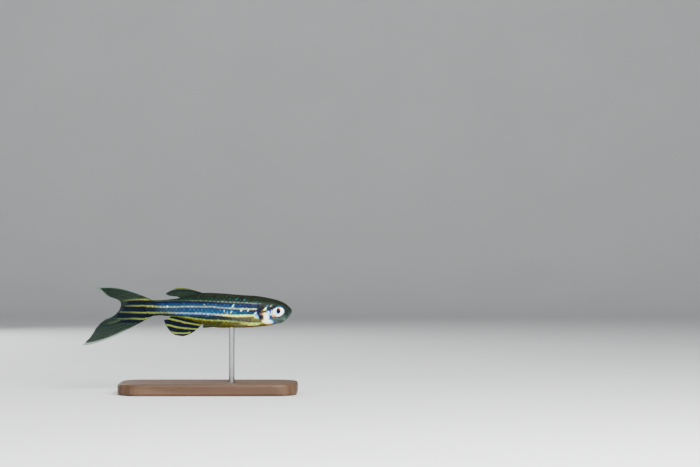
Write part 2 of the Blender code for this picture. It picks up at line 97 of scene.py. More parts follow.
# Barbels on the snout and at the mouth: s and angle of the root, length and droop
BARBELS = ((0.62, 1.50, 1.5, 1.50), (1.45, 2.22, 3.6, 0.40))
BARBEL_STEPS = 40

# Fins
DORSAL_ROOT = (22.4, 28.6)
ANAL_ROOT = (23.0, 31.0)
CAUDAL_RAYS_UPPER = 10
CAUDAL_RAYS_LOWER = 9
DORSAL_RAYS = 10
ANAL_RAYS = 14
PECTORAL_RAYS = 12
PELVIC_RAYS = 8
# First and last point of the paired fins' roots: s and the angle round the body
PECTORAL_BASE = ((9.5, 1.86), (10.2, 2.26))
PELVIC_BASE = ((17.2, 2.25), (18.0, 2.55))
GAP = 0.3

# The photograph's frame and where the fish lies in it
FRAME_PIXELS = (700, 467)
LENGTH_PIXELS = 139.5
SNOUT_PIXEL = (291.8, 311.9)
LENS_MM, SENSOR_MM = 120.0, 36.0

RANDOM = np.random.default_rng(11)


def smooth_curve(stations, values, at):
    """Smooth monotone curve through the stations, read at one place or an array."""
    x = np.asarray(stations, float)
    y = np.asarray(values, float)
    step = np.diff(x)
    rise = np.diff(y, axis=0)
    slope = rise / step.reshape((-1,) + (1,) * (y.ndim - 1))
    tangent = np.zeros_like(y)
    tangent[0], tangent[-1] = slope[0], slope[-1]
    same_way = slope[:-1] * slope[1:] > 0
    total = np.where(same_way, slope[:-1] + slope[1:], 1.0)
    tangent[1:-1] = np.where(same_way, 2 * slope[:-1] * slope[1:] / total, 0.0)
    at = np.clip(np.asarray(at, float), x[0], x[-1])
    k = np.clip(np.searchsorted(x, at, side="right") - 1, 0, len(x) - 2)
    h = step[k]
    t = (at - x[k]) / h
    if y.ndim > 1:
        t, h = t[..., None], h[..., None]
    return (
        y[k] * (2 * t**3 - 3 * t**2 + 1)
        + tangent[k] * h * (t**3 - 2 * t**2 + t)
        + y[k + 1] * (3 * t**2 - 2 * t**3)
        + tangent[k + 1] * h * (t**3 - t**2)
    )


def ease(low, high, value):
    """0 below low, 1 above high, smooth between. Low may be above high."""
    t = np.clip((value - low) / (high - low), 0, 1)
    return t * t * (3 - 2 * t)


def bell(distance, width):
    """1 at no distance, falling off on either side."""
    return np.exp(-((distance / width) ** 2))


def tint(first, second, share):
    """Colours from first to second, by a share held to 0 to 1."""
    share = np.clip(np.asarray(share, float), 0, 1)[..., None]
    return first * (1 - share) + second * share


LATTICE = np.random.default_rng(5).random((32, 32, 32)) * 2 - 1


def lumps(points, size, seed=0.0):
    """Smooth noise from -1 to 1 over points, with lumps of about the given size."""
    p = points / np.asarray(size, float) + seed * 7.31 + 400.0
    low = np.floor(p).astype(int)
    t = p - low
    t = t * t * (3 - 2 * t)
    total = 0.0
    for corner in range(8):
        bits = np.array([corner & 1, corner >> 1 & 1, corner >> 2 & 1])
        at = (low + bits) % 32
        weight = np.prod(np.where(bits, t, 1 - t), axis=-1)
        total = total + LATTICE[at[..., 0], at[..., 1], at[..., 2]] * weight
    return total


# The body's surface


def body_outline(s):
    """Top, bottom and half width of the body, thinning to a wedge past its end."""
    share = np.clip(np.asarray(s, float) / STANDARD_LENGTH, 0, 1)
    found = smooth_curve(np.sqrt(BODY_STATIONS[:, 0]), BODY_STATIONS[:, 1:], np.sqrt(share))
    found = found * STANDARD_LENGTH
    past = np.clip((s - STANDARD_LENGTH) / (SKIN_END - STANDARD_LENGTH), 0, 1)
    return found[..., 0], found[..., 1], found[..., 2] * (1 - 0.72 * past)


def spine_swing(s):
    past = np.maximum(0.0, s / STANDARD_LENGTH - SWING_FROM) / (1 - SWING_FROM)
    return TAIL_SWING * past**2


def body_point(s, angle):
    """Point (s, y, z) of the surface. The angle runs from the back round the right side."""
    s, angle = np.broadcast_arrays(np.asarray(s, float), np.asarray(angle, float))
    top, bottom, half_width = body_outline(s)
    middle = bottom + (top - bottom) * WIDEST_AT
    across, up = np.sin(angle), np.cos(angle)
    power = 2 / ROUNDNESS
    y = np.sign(across) * np.abs(across) ** power * half_width
    reach = np.where(up > 0, top - middle, middle - bottom)
    z = middle + np.sign(up) * np.abs(up) ** power * reach
    return np.stack([s, spine_swing(s) - y, z], axis=-1)


def body_normal(s, angle):
    """Outward direction of the surface, in (s, y, z)."""
    along = body_point(s + 0.1, angle) - body_point(s - 0.1, angle)
    around = body_point(s, angle + 0.02) - body_point(s, angle - 0.02)
    normal = np.cross(around, along)
    return normal / np.linalg.norm(normal, axis=-1, keepdims=True)


def gill_edge(angle):
    """s of the gill cover's rear edge."""
    end = np.where(np.cos(angle) > 0, GILL_NAPE, GILL_THROAT)
    return end + (GILL_SIDE - end) * np.sin(angle) ** 2


def even_angle_table():
    """Angles that part half a cross-section of the torso into even lengths."""
    angles = np.linspace(0, math.pi, 400)
    ring = body_point(np.full(400, 15.0), angles)
    steps = np.linalg.norm(np.diff(ring, axis=0), axis=1)
    lengths = np.concatenate([[0], np.cumsum(steps)])
    return lengths / lengths[-1], angles


EVEN_SHARES, EVEN_ANGLES = even_angle_table()


def even_angle(turn):
    """Angle at a share of the way round, from the back down the right side and up."""
    turn = np.mod(turn, 1.0)
    half = np.where(turn < 0.5, turn * 2, (1 - turn) * 2)
    angle = np.interp(half, EVEN_SHARES, EVEN_ANGLES)
    return np.where(turn < 0.5, angle, 2 * math.pi - angle)


# Place of the fish in the frame
FISH_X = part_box("tail")[0][0] * 1000 + STANDARD_LENGTH
TORSO_TOP = body_outline(np.linspace(GILL_NAPE + GAP, 22.0, 400))[0].max()
FISH_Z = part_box("torso")[1][2] * 1000 - TORSO_TOP


def to_world(points):
    """Fish millimetres to metres in the frame."""
    points = np.asarray(points, float)
    moved = np.stack([FISH_X - points[..., 0], points[..., 1], FISH_Z + points[..., 2]], axis=-1)
    return moved * 0.001


# Markings


def rgb(red, green, blue):
    """A colour in linear light."""
    return np.array((red, green, blue))


OLIVE = rgb(0.0068, 0.0096, 0.0058)
OLIVE_LIGHT = rgb(0.023, 0.029, 0.014)
NAVY = rgb(0.0036, 0.0062, 0.0250)
BLUE = rgb(0.0088, 0.0285, 0.0740)
SKY = rgb(0.0110, 0.0850, 0.1550)
LILAC = rgb(0.080, 0.110, 0.300)
TEAL = rgb(0.006, 0.060, 0.050)
CREAM = rgb(0.620, 0.620, 0.040)
GOLD = rgb(0.180, 0.120, 0.014)
SMOKE = rgb(0.0090, 0.0160, 0.0160)
BELLY_REAR = rgb(0.060, 0.060, 0.009)
BELLY_FRONT = rgb(0.075, 0.073, 0.012)
SILVER = rgb(0.960, 0.970, 0.950)
GLINT_LOW = rgb(0.90, 1.0, 0.62)
GLINT_HIGH = rgb(0.16, 0.72, 0.90)
SNOUT_GREY = rgb(0.0085, 0.0128, 0.0112)
CHEEK_GREY = rgb(0.043, 0.062, 0.055)
SOCKET_SHADE = rgb(0.004, 0.006, 0.012)
MOUTH_SHADE = rgb(0.02, 0.014, 0.012)
FIN_GOLD = rgb(0.130, 0.148, 0.022)
FIN_GOLD_FAR = rgb(0.036, 0.050, 0.020)
FIN_NAVY = rgb(0.0020, 0.0042, 0.0095)

# Colours of the pale lines along the body: lower edge, middle and upper edge
UPPER_LINE = np.array(((0.040, 0.030, 0.038), (0.056, 0.066, 0.036), (0.012, 0.056, 0.024)))
MIDDLE_LINE = np.array(((0.100, 0.072, 0.150), (0.210, 0.225, 0.160), (0.022, 0.150, 0.130)))
MIDDLE_LINE_FRONT = np.array(((0.150, 0.070, 0.040), (0.340, 0.330, 0.100), (0.035, 0.260, 0.140)))
LOWER_LINE = np.array(((0.040, 0.090, 0.310), (0.230, 0.220, 0.290), (0.018, 0.180, 0.170)))
LOWER_LINE_FRONT = np.array(((0.230, 0.115, 0.010), (0.950, 0.850, 0.110), (0.020, 0.400, 0.260)))
LOWER_LINE_REAR = np.array(((0.085, 0.052, 0.020), (0.130, 0.150, 0.060), (0.012, 0.085, 0.060)))
BELLY_LINE = np.array(((0.140, 0.080, 0.010), (0.230, 0.270, 0.030), (0.028, 0.160, 0.075)))

# Heights of the upper, middle, lower and belly line at places along the body
STRIPE_STATIONS = (8.6, 11.7, 14.8, 17.9, 21.0, 24.1, 27.2, 30.3, 33.4, 36.2)
LINE_HEIGHTS = (
    (2.14, 2.37, 2.50, 2.66, 2.84, 2.92, 2.92, 2.86, 2.76, 2.98),
    (0.80, 0.80, 0.95, 1.13, 1.38, 1.39, 1.42, 1.33, 1.28, 1.44),
    (-0.98, -0.98, -0.98, -0.72, -0.49, -0.34, -0.31, -0.26, -0.22, -0.26),
    (-2.86, -2.70, -2.42, -2.17, -2.11, -1.80, -1.40, -1.12, -1.20, -1.49),
)

# Rounded parts of the silver patch on the gill cover, in the side view: centre, half sizes and tilt
COVER_PATCH = (
    ((5.98, -0.02), (0.36, 0.26), 0.30),
    ((6.35, -0.52), (1.12, 0.30), 0.04),
    ((6.45, -1.30), (0.74, 0.90), 0.0),
    ((6.25, -2.42), (1.52, 0.62), 0.10),
)

# Spots and painted highlights on the head, laid in turn: centre, half sizes, tilt, colour and share
HEAD_SPOTS_AND_HIGHLIGHTS = (
    ((7.40, 0.42), (0.46, 0.17), -0.5, (0.110, 0.065, 0.022), 0.85),
    ((6.36, 1.42), (0.44, 0.26), -0.9, (0.012, 0.060, 0.160), 0.85),
    ((6.95, 0.66), (0.30, 0.20), -0.7, (0.950, 0.620, 0.060), 0.90),
    ((6.68, 0.84), (0.34, 0.22), -0.8, (0.500, 0.950, 0.300), 0.95),
    ((5.36, 1.56), (0.26, 0.14), -0.8, (0.240, 0.170, 0.110), 0.85),
    ((5.14, 1.88), (0.26, 0.12), -0.8, (0.013, 0.080, 0.045), 0.80),
    ((5.30, 0.30), (0.34, 0.45), 0.2, (0.060, 0.035, 0.260), 0.75),
    ((5.15, -1.22), (0.42, 0.16), -0.35, (0.020, 0.022, 0.070), 0.80),
    # Painted highlights on the chin and along the lower jaw's edge
    ((1.78, -1.88), (0.36, 0.18), -0.7, (0.150, 0.420, 0.190), 1.0),
    ((1.48, -1.50), (0.34, 0.14), -0.8, (0.020, 0.080, 0.095), 0.80),
    ((0.66, -0.62), (0.46, 0.13), -0.86, (0.036, 0.062, 0.060), 0.80),
)

# Spots from the gill cover to the belly: centre, half sizes, tilt, softness, colour, share, silver
SHOULDER_SPOTS = (
    ((8.62, -0.98), (0.62, 0.40), 0.30, 0.35, (0.014, 0.040, 0.300), 0.85, 0.3),
    ((8.95, -1.14), (0.62, 0.30), 0.35, 0.35, (0.070, 0.430, 0.900), 0.95, 0.4),
    ((9.05, -1.42), (0.62, 0.22), 0.30, 0.35, (0.300, 0.640, 0.200), 0.80, 0.3),
    ((10.70, -3.02), (2.10, 0.36), 0.04, 0.50, (0.6572, 0.7192, 0.104), 0.90, 0.3),
)

# Bright glints on the flank: place, half sizes, tilt and share
GLINTS = (
    (15.07, 1.55, 0.50, 0.13, 2.1, 0.9),
    (15.54, 0.03, 0.33, 0.13, 2.2, 0.7),
    (12.78, 0.66, 0.50, 0.18, 2.1, 0.9),
    (11.15, 0.55, 0.40, 0.14, 2.1, 0.8),
    (9.26, -0.24, 0.44, 0.14, 2.3, 0.9),
    (17.30, 0.36, 0.45, 0.12, 1.6, 0.35),
    (16.50, -0.11, 0.55, 0.10, 1.6, 0.25),
    (22.40, 1.91, 0.18, 0.11, 1.9, 0.5),
    (32.20, 1.39, 0.26, 0.18, 2.4, 0.8),
)

# Fainter green glints along the shoulder
SHOULDER_GLINTS = (
    (14.07, 3.38, 0.42, 0.17),
    (12.08, 3.20, 0.34, 0.14),
    (15.90, 3.42, 0.30, 0.11),
    (9.14, 2.52, 0.28, 0.10),
)

JAW_LINE = ((0.10, -0.30), (0.75, -1.05), (1.70, -1.95), (2.60, -2.35))

# Light and dark marks under the eye: centre, half sizes, tilt, tone and share
CHEEK_MARKS = (
    ((3.45, -2.05), (0.95, 0.20), 0.10, 0.35, 0.60),
    ((4.30, -1.62), (0.55, 0.10), 0.10, 0.50, 0.40),
    ((3.90, -1.76), (0.90, 0.09), 0.05, 2.20, 0.65),
    ((3.70, -2.32), (1.00, 0.10), 0.08, 1.70, 0.60),
    ((2.35, -1.55), (0.50, 0.30), -0.60, 1.50, 0.60),
    ((4.00, -2.75), (1.50, 0.30), 0.20, 1.45, 0.60),
)


class Coat:
    """Colour and silveriness, laid on layer by layer."""

    def __init__(self, colour, silver):
        self.colour = colour
        self.silver = silver

    def lay(self, colour, share, silver):
        share = np.clip(share, 0, 1)
        self.colour = tint(self.colour, colour, share)
        self.silver = self.silver * (1 - share) + silver * share


def hatch(s, y, z, width, length, seed):
    """Short slanted flecks, leaning towards the head."""
    across, along = 0.87 * s + 0.50 * z, 0.87 * z - 0.50 * s
    return lumps(np.stack([across, y, along], axis=-1), (width, 5.0, length), seed)


def blend_tones(first, second, share):
    """Three colours that pass from the first three to the second, by a share at each place."""
    first = [np.asarray(tone) for tone in first]
    return [tint(low, high, share) for low, high in zip(first, second)]


def line_tone(across, tones):
    """Colour over a line's width, from -1 at its lower edge to 1 at its upper one."""
    low, middle, high = tones
    tone = tint(middle, high, ease(0.15, 0.95, across))
    return tint(tone, low, ease(-0.15, -0.95, across))


def line_heights(s):
    return [smooth_curve(STRIPE_STATIONS, heights, s) for heights in LINE_HEIGHTS]


def fin_gold(s, across):
    """Gold of the fins' lines: greener above, browner below, fainter towards the margin."""
    gold = tint(FIN_GOLD, FIN_GOLD_FAR, ease(37.0, 44.0, s))
    gold = tint(gold, gold * rgb(0.55, 1.05, 1.6), ease(0.1, 0.9, across))
    return tint(gold, gold * rgb(1.0, 0.62, 0.8), ease(-0.1, -0.9, across))


def torso_paint(s, y, z):
    """Colour and silveriness of the striped part of the body."""
    points = np.stack([s, y, z], axis=-1)
    height = z + 0.05 * lumps(points, (1.2, 5.0, 0.6), 1) + 0.02 * lumps(points, 0.25, 2)
    upper, middle, lower, belly = line_heights(s)
    front = ease(17.5, 10.5, s)
    tail = ease(32.5, 36.3, s)
    fleck = ease(0.05, 0.65, hatch(s, y, z, 0.20, 0.55, 4))
    streak = ease(-0.1, 0.7, lumps(points, (1.6, 5.0, 0.22), 3))
    coat = Coat(OLIVE, 0.0)
    coat.lay(OLIVE_LIGHT, 0.25 * fleck, 0.0)

    # Green sheen above the upper line
    shoulder = ease(upper + 1.0, upper + 0.55, height) * (1 - tail)
    coat.lay(TEAL * 0.36, shoulder * (0.30 + 0.4 * fleck), 0.15)
    coat.lay(NAVY, shoulder * 0.45 * streak * ease(27, 22, s), 0.1)

    # Upper blue band
    depth = (upper - height) / (upper - middle)
    band = tint(NAVY, BLUE, ease(0.22, 0.70, depth) * (1 - 0.8 * front))
    band = tint(band, SKY, 0.30 * fleck * ease(0.25, 0.6, depth) * (1 - 0.7 * front))
    coat.lay(tint(band, FIN_NAVY, 0.9 * tail), ease(upper + 0.05, upper - 0.07, height), 0.25)

    # Lower blue band
    depth = (middle - height) / (middle - lower)
    band = tint(NAVY, BLUE, ease(0.02, 0.30, depth - 0.25 * ease(12, 9.5, s)) * (1 - 0.25 * front))
    lit = (0.25 + 0.50 * fleck) * ease(0.1, 0.5, depth) * ease(8.5, 15.5, s) * ease(32, 17, s)
    band = tint(band, SKY, lit)
    band = tint(band, LILAC, 0.55 * streak * ease(0.72, 0.95, depth) * ease(15, 20, s) * ease(33, 29, s))
    band = tint(band, SMOKE * 2.2, 0.6 * ease(27, 33, s))
    coat.lay(tint(band, FIN_NAVY, 0.9 * tail), ease(middle + 0.05, middle - 0.07, height), 0.25)

    # Dark band under the lower line
    smoke = tint(SMOKE, rgb(0.066, 0.068, 0.036), 0.8 * front)
    under = ease(lower - 0.85, lower - 0.30, height) * ease(19, 22.5, s) * ease(31, 27, s)
    smoke = tint(smoke, SKY * 0.9, under * (0.40 + 0.45 * streak))
    coat.lay(tint(smoke, FIN_NAVY, 0.9 * tail), ease(lower + 0.05, lower - 0.08, height), 0.2)

    # Belly
    pale = tint(BELLY_REAR, BELLY_FRONT, ease(19, 12, s))
    pale = tint(pale, GOLD, 0.20 * fleck)
    coat.lay(pale, ease(belly + 0.05, belly - 0.10, height), 0.2)

    # Pale lines: middle height, half width, tones and share
    lower_tones = blend_tones(LOWER_LINE_REAR, LOWER_LINE, ease(32.5, 28.5, s))
    lower_tones = blend_tones(lower_tones, LOWER_LINE_FRONT, ease(21, 15, s))
    middle_tones = blend_tones(MIDDLE_LINE, MIDDLE_LINE_FRONT, front)
    lines = (
        (upper, 0.13, UPPER_LINE, 0.9 - 0.6 * ease(24, 29, s)),
        (middle, 0.17 + 0.05 * tail, middle_tones, 1.0),
        (lower + 0.03 * front, 0.20 + 0.11 * ease(20, 13, s), lower_tones, 1.0),
        (belly, 0.19, blend_tones(BELLY_LINE, BELLY_LINE * 1.4, front), 0.9 - 0.5 * ease(26, 29, s)),
    )
    for centre, half, tones, share in lines:
        across = (height - centre) / (half + 0.04)
        inside = ease(1.35, 0.75, np.abs(across))
        tone = line_tone(across, tones)
        coat.lay(tint(tone, fin_gold(s, across), tail), inside * share, 0.3)

    for at_s, at_z, long, wide, turn, share in GLINTS:
        lit = blob(s, z, (at_s, at_z), (long, wide), turn, 0.45)
        tone = tint(GLINT_LOW, GLINT_HIGH, ease(-0.3, 0.5, (z - at_z) / long))
        coat.lay(tone, share * lit, 0.3)
    for at_s, at_z, long, wide in SHOULDER_GLINTS:
        lit = blob(s, z, (at_s, at_z), (long, wide), 2.6, 0.5)
        coat.lay(TEAL * 1.1, 0.8 * lit, 0.3)
    return coat.colour, coat.silver


def line_distance(s, z, line):
    """Distance in the side view to a bent line of points."""
    line = np.array(line, float)
    best = np.full(s.shape, 1e9)
    for first, last in zip(line[:-1], line[1:]):
        way = last - first
        share = ((s - first[0]) * way[0] + (z - first[1]) * way[1]) / (way @ way)
        share = np.clip(share, 0, 1)
        best = np.minimum(best, np.hypot(s - first[0] - share * way[0], z - first[1] - share * way[1]))
    return best


def ellipse_reach(s, z, centre, radii, turn=0.0):
    """0 at the middle of a tilted ellipse in the side view and 1 on its edge."""
    ds, dz = s - centre[0], z - centre[1]
    c, n = math.cos(turn), math.sin(turn)
    along, across = ds * c + dz * n, -ds * n + dz * c
    return np.hypot(along / radii[0], across / radii[1])


def joined_distance(s, z, parts, soft=0.10):
    """Rough distance to the edge of ellipses that run into one another, negative inside."""
    total = 0.0
    for centre, radii, turn in parts:
        away = (ellipse_reach(s, z, centre, radii, turn) - 1) * min(radii)
        total = total + np.exp(-np.clip(away, -2, 2) / soft)
    return -soft * np.log(total)


def blob(s, z, centre, radii, turn=0.0, soft=0.35):
    """1 inside a soft tilted ellipse in the side view, 0 outside."""
    return ease(1 + soft, 1 - soft, ellipse_reach(s, z, centre, radii, turn))


def head_paint(s, y, z):
    """Colour and silveriness of the head, out to the gill cover's edge."""
    points = np.stack([s, y, z], axis=-1)
    rough = 0.6 * lumps(points, 0.8, 6) + 0.35 * lumps(points, 0.3, 7)
    fine = lumps(points, 0.14, 8)
    fleck = ease(0.1, 0.7, fine)
    ws = s + 0.09 * rough + 0.03 * fine
    wz = z + 0.07 * lumps(points, 0.7, 14) + 0.03 * fine
    coat = Coat(SNOUT_GREY, 0.05)
    coat.lay(OLIVE_LIGHT, 0.2 * fleck, 0.0)
    # Jaw and cheek, crown and nape
    jaw = ease(-0.35, -1.05, wz + 0.12 * s)
    coat.lay(CHEEK_GREY * (0.45 + 0.55 * ease(0.8, 2.4, s))[..., None], jaw * 0.9, 0.15)
    for at, size, turn, tone, share in CHEEK_MARKS:
        coat.lay(CHEEK_GREY * tone, blob(ws, wz, at, size, turn, 0.5) * share, 0.2)
    crown_edge = np.interp(s, (0, 0.8, 2.2, 5, 7, 9), (0.25, 0.85, 1.60, 1.70, 1.50, 1.95))
    coat.lay(tint(OLIVE, OLIVE_LIGHT, 0.2 * fleck), ease(-0.25, 0.35, z - crown_edge + 0.25 * rough), 0.0)
    coat.lay(OLIVE, blob(ws, wz, (7.3, 1.35), (1.3, 0.6), -0.1, 0.5) * 0.8, 0.0)
    # Painted shade on the gill cover's rear edge, over the opening behind it
    coat.lay(NAVY * 0.9, blob(ws, wz, (8.05, -0.35), (0.62, 1.45), -0.05) * 0.9, 0.0)
    coat.lay(CREAM * 0.35, blob(ws, wz, (8.0, -2.75), (0.9, 0.60), 0.12, 0.5) * 0.8, 0.2)

    # Silver patch on the gill cover, with its coloured edges
    away = joined_distance(ws, wz, COVER_PATCH)
    rear = ease(6.2, 6.9, ws)
    halo = tint(rgb(0.036, 0.046, 0.170), rgb(0.120, 0.060, 0.022), rear)
    coat.lay(halo, 0.85 * ease(0.34, 0.08, away), 0.2)
    silver = tint(rgb(0.10, 0.80, 0.97), rgb(0.97, 0.80, 0.26), rear)
    silver = tint(silver, SILVER, ease(-0.05, -0.34, away))
    silver = silver * (1 - 0.12 * ease(0.0, 0.8, fine))[..., None]
    coat.lay(silver, ease(0.09, -0.15, away + 0.04 * fine), 0.25)
    dim = ease(0.10, 0.75, lumps(points, (0.40, 2.0, 0.7), 15)) * ease(-2.3, -1.7, wz)
    coat.lay(rgb(0.20, 0.36, 0.50), 0.30 * dim * ease(0.0, -0.2, away), 0.2)
    under = ease(-2.72, -3.02, wz) * ease(0.25, 0.0, away)
    coat.lay(rgb(0.85, 0.48, 0.03), 0.85 * under, 0.2)
    lower_edge = ease(0.30, 0.12, away) * ease(-0.02, 0.10, away) * ease(-2.7, -2.9, wz)
    coat.lay(rgb(0.10, 0.046, 0.018), 0.8 * lower_edge, 0.2)

    # Spots, and painted highlights on the chin and along the jaw
    for at, size, turn, tone, share in HEAD_SPOTS_AND_HIGHLIGHTS:
        coat.lay(tone, blob(ws, wz, at, size, turn, 0.4) * share, 0.2)
    jaw_line = ease(0.30, 0.05, line_distance(ws, wz, JAW_LINE))
    coat.lay(CHEEK_GREY * 0.9, 0.5 * jaw_line, 0.2)
    along, above = mouth_frame(s, z)
    # Painted highlight along the lower lip
    lower_lip_highlight = ease(0.34, 0.18, np.abs(above + 0.16)) * ease(-0.3, 0.2, along) * ease(2.2, 1.7, s)
    coat.lay(CHEEK_GREY * 0.7, 0.35 * lower_lip_highlight, 0.15)
    rear_rim = ease(1.12, 1.02, ellipse_reach(s, z, WHITE_AT, WHITE_RADII, WHITE_TURN)) * ease(4.2, 4.8, s)
    rim_tone = tint(rgb(0.50, 0.60, 0.36), rgb(0.85, 0.34, 0.12), ease(-0.35, -0.85, z))
    coat.lay(rim_tone, 0.85 * rear_rim, 0.2)
    # Painted shade along the folds of the cheek and the gill cover
    for line, width in ((CHEEK_LINE, 0.10), (LOWER_COVER_LINE, 0.08)):
        coat.colour *= (1 - 0.30 * bell(line_distance(s, z, line), width))[..., None]
    return coat.colour, coat.silver


def body_paint(s, y, z, angle):
    """Colour and silveriness anywhere on the skin."""
    torso, torso_silver = torso_paint(s, y, z)
    head, head_silver = head_paint(s, y, z)
    edge = gill_edge(angle)
    early = 0.9 * ease(1.3, 1.9, z)
    behind = ease(-0.02 - early, 0.06 - 0.3 * early, s - edge)
    coat = Coat(head, head_silver)
    coat.lay(torso, behind, torso_silver)
    points = np.stack([s, y, z], axis=-1)
    # Painted shade in the slot behind the gill cover
    gill_slot_shade = behind * ease(0.55, 0.1, s - edge) * ease(-0.8, -0.4, z) * ease(1.9, 1.0, z)
    coat.lay(NAVY * 1.5, 0.85 * gill_slot_shade, 0.1)
    rough = 0.25 * lumps(points, 0.4, 9)
    fine = ease(-0.3, 0.5, lumps(points, 0.16, 10))
    speckle = blob(s, z, (9.3, -1.72), (1.25, 0.48), 0.10) * (0.45 + 0.55 * fine)
    coat.lay(rgb(0.150, 0.120, 0.020), behind * 0.9 * speckle, 0.3)
    for centre, half, turn, soft, tone, share, silver in SHOULDER_SPOTS:
        spot = blob(s + rough, z + rough, centre, half, turn, soft)
        coat.lay(tone, behind * share * spot, silver)
    below = behind * ease(14.5, 12.0, s) * ease(-3.25, -3.6, z + 0.3 * rough)
    coat.lay(rgb(0.105, 0.055, 0.014), 0.8 * below * ease(-4.4, -3.8, z), 0.3)
    return coat.colour, np.clip(coat.silver, 0, 1)


# Meshes and materials

TUBE_GUIDE = np.array((0.13, 0.94, 0.31))  # a way that no path takes


def placed(name, data):
    """A new object in the scene."""
    made = bpy.data.objects.new(name, data)
    bpy.context.scene.collection.objects.link(made)
    return made


def new_object(name, points, faces, finish):
    """A smooth-shaded object from fish millimetres and faces, with its material."""
    mesh = bpy.data.meshes.new(name)
    mesh.from_pydata(to_world(points).tolist(), [], faces)
    mesh.validate()
    mesh.shade_smooth()
    mesh.materials.append(finish)
    made = placed(name, mesh)
    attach(made, "root")
    return made


def add_paint(obj, colour, silver=None, cover=None):
    """Stores colour, silveriness and cover on the points, for the materials to read."""
    mesh = obj.data
    count = len(mesh.vertices)
    rgba = np.ones((count, 4))
    rgba[:, :3] = np.clip(colour, 0, 1)
    mesh.attributes.new("paint", "FLOAT_COLOR", "POINT").data.foreach_set("color", rgba.ravel())
    for name, values in (("silver", silver), ("cover", cover)):
        if values is not None:
            made = mesh.attributes.new(name, "FLOAT", "POINT")
            made.data.foreach_set("value", np.broadcast_to(values, (count,)).astype(float))


def grid_faces(rows, columns, closed=False, fold=0):
    """Quads of a grid of points, row by row. A closed grid joins its last column to its first.

    Fold 1 creases the quads along their other diagonal.
    """
    i, k = np.meshgrid(np.arange(rows - 1), np.arange(columns if closed else columns - 1), indexing="ij")
    a, b = i * columns + k, i * columns + (k + 1) % columns
    quads = np.stack([a + columns, b + columns, b, a], axis=-1).reshape(-1, 4)
    return np.roll(quads, fold, axis=1)


def grid_rim(rows, columns):
    """Numbers of a grid's outermost points, in turn."""
    right = np.arange(1, rows) * columns + columns - 1
    bottom = (rows - 1) * columns + np.arange(columns - 2, -1, -1)
    left = np.arange(rows - 2, 0, -1) * columns
    return np.concatenate([np.arange(columns), right, bottom, left])


def tube_faces(rows, sides, count=1, fold=0):
    """Faces of closed tubes. The points are each tube's rings, then one for either end."""
    per = rows * sides
    k = np.arange(sides)
    after = (k + 1) % sides
    start = np.stack([np.full(sides, per), k, after], axis=-1)
    end = np.stack([np.full(sides, per + 1), per - sides + after, per - sides + k], axis=-1)
    jumps = (np.arange(count) * (per + 2))[:, None, None]
    quads = (grid_faces(rows, sides, True, fold)[None] + jumps).reshape(-1, 4)
    caps = (np.vstack([start, end])[None] + jumps).reshape(-1, 3)
    return quads.tolist() + caps.tolist()


def tubes(name, path, radii, sides, finish):
    """An object of round tubes, closed at both ends, along many paths."""
    along = np.gradient(path, axis=-2)
    along /= np.linalg.norm(along, axis=-1, keepdims=True) + 1e-12
    side = np.cross(along, TUBE_GUIDE)
    side /= np.linalg.norm(side, axis=-1, keepdims=True) + 1e-12
    other = np.cross(along, side)
    turns = 2 * math.pi * np.arange(sides) / sides
    ring = side[..., None, :] * np.cos(turns)[:, None] + other[..., None, :] * np.sin(turns)[:, None]
    rings = path[..., None, :] + ring * radii[..., None, None]
    count, steps = path.shape[:2]
    points = np.concatenate([rings.reshape(count, -1, 3), path[:, :1], path[:, -1:]], axis=1)
    faces = tube_faces(steps, sides, count, fold=1)
    return new_object(name, points.reshape(-1, 3), faces, finish)


def over_tubes(values, sides):
    """A value for each step of each path, spread over its tube's points."""
    spread = np.repeat(values, sides, axis=1)
    return np.concatenate([spread, values[:, :1], values[:, -1:]], axis=1).reshape(-1, values.shape[-1])


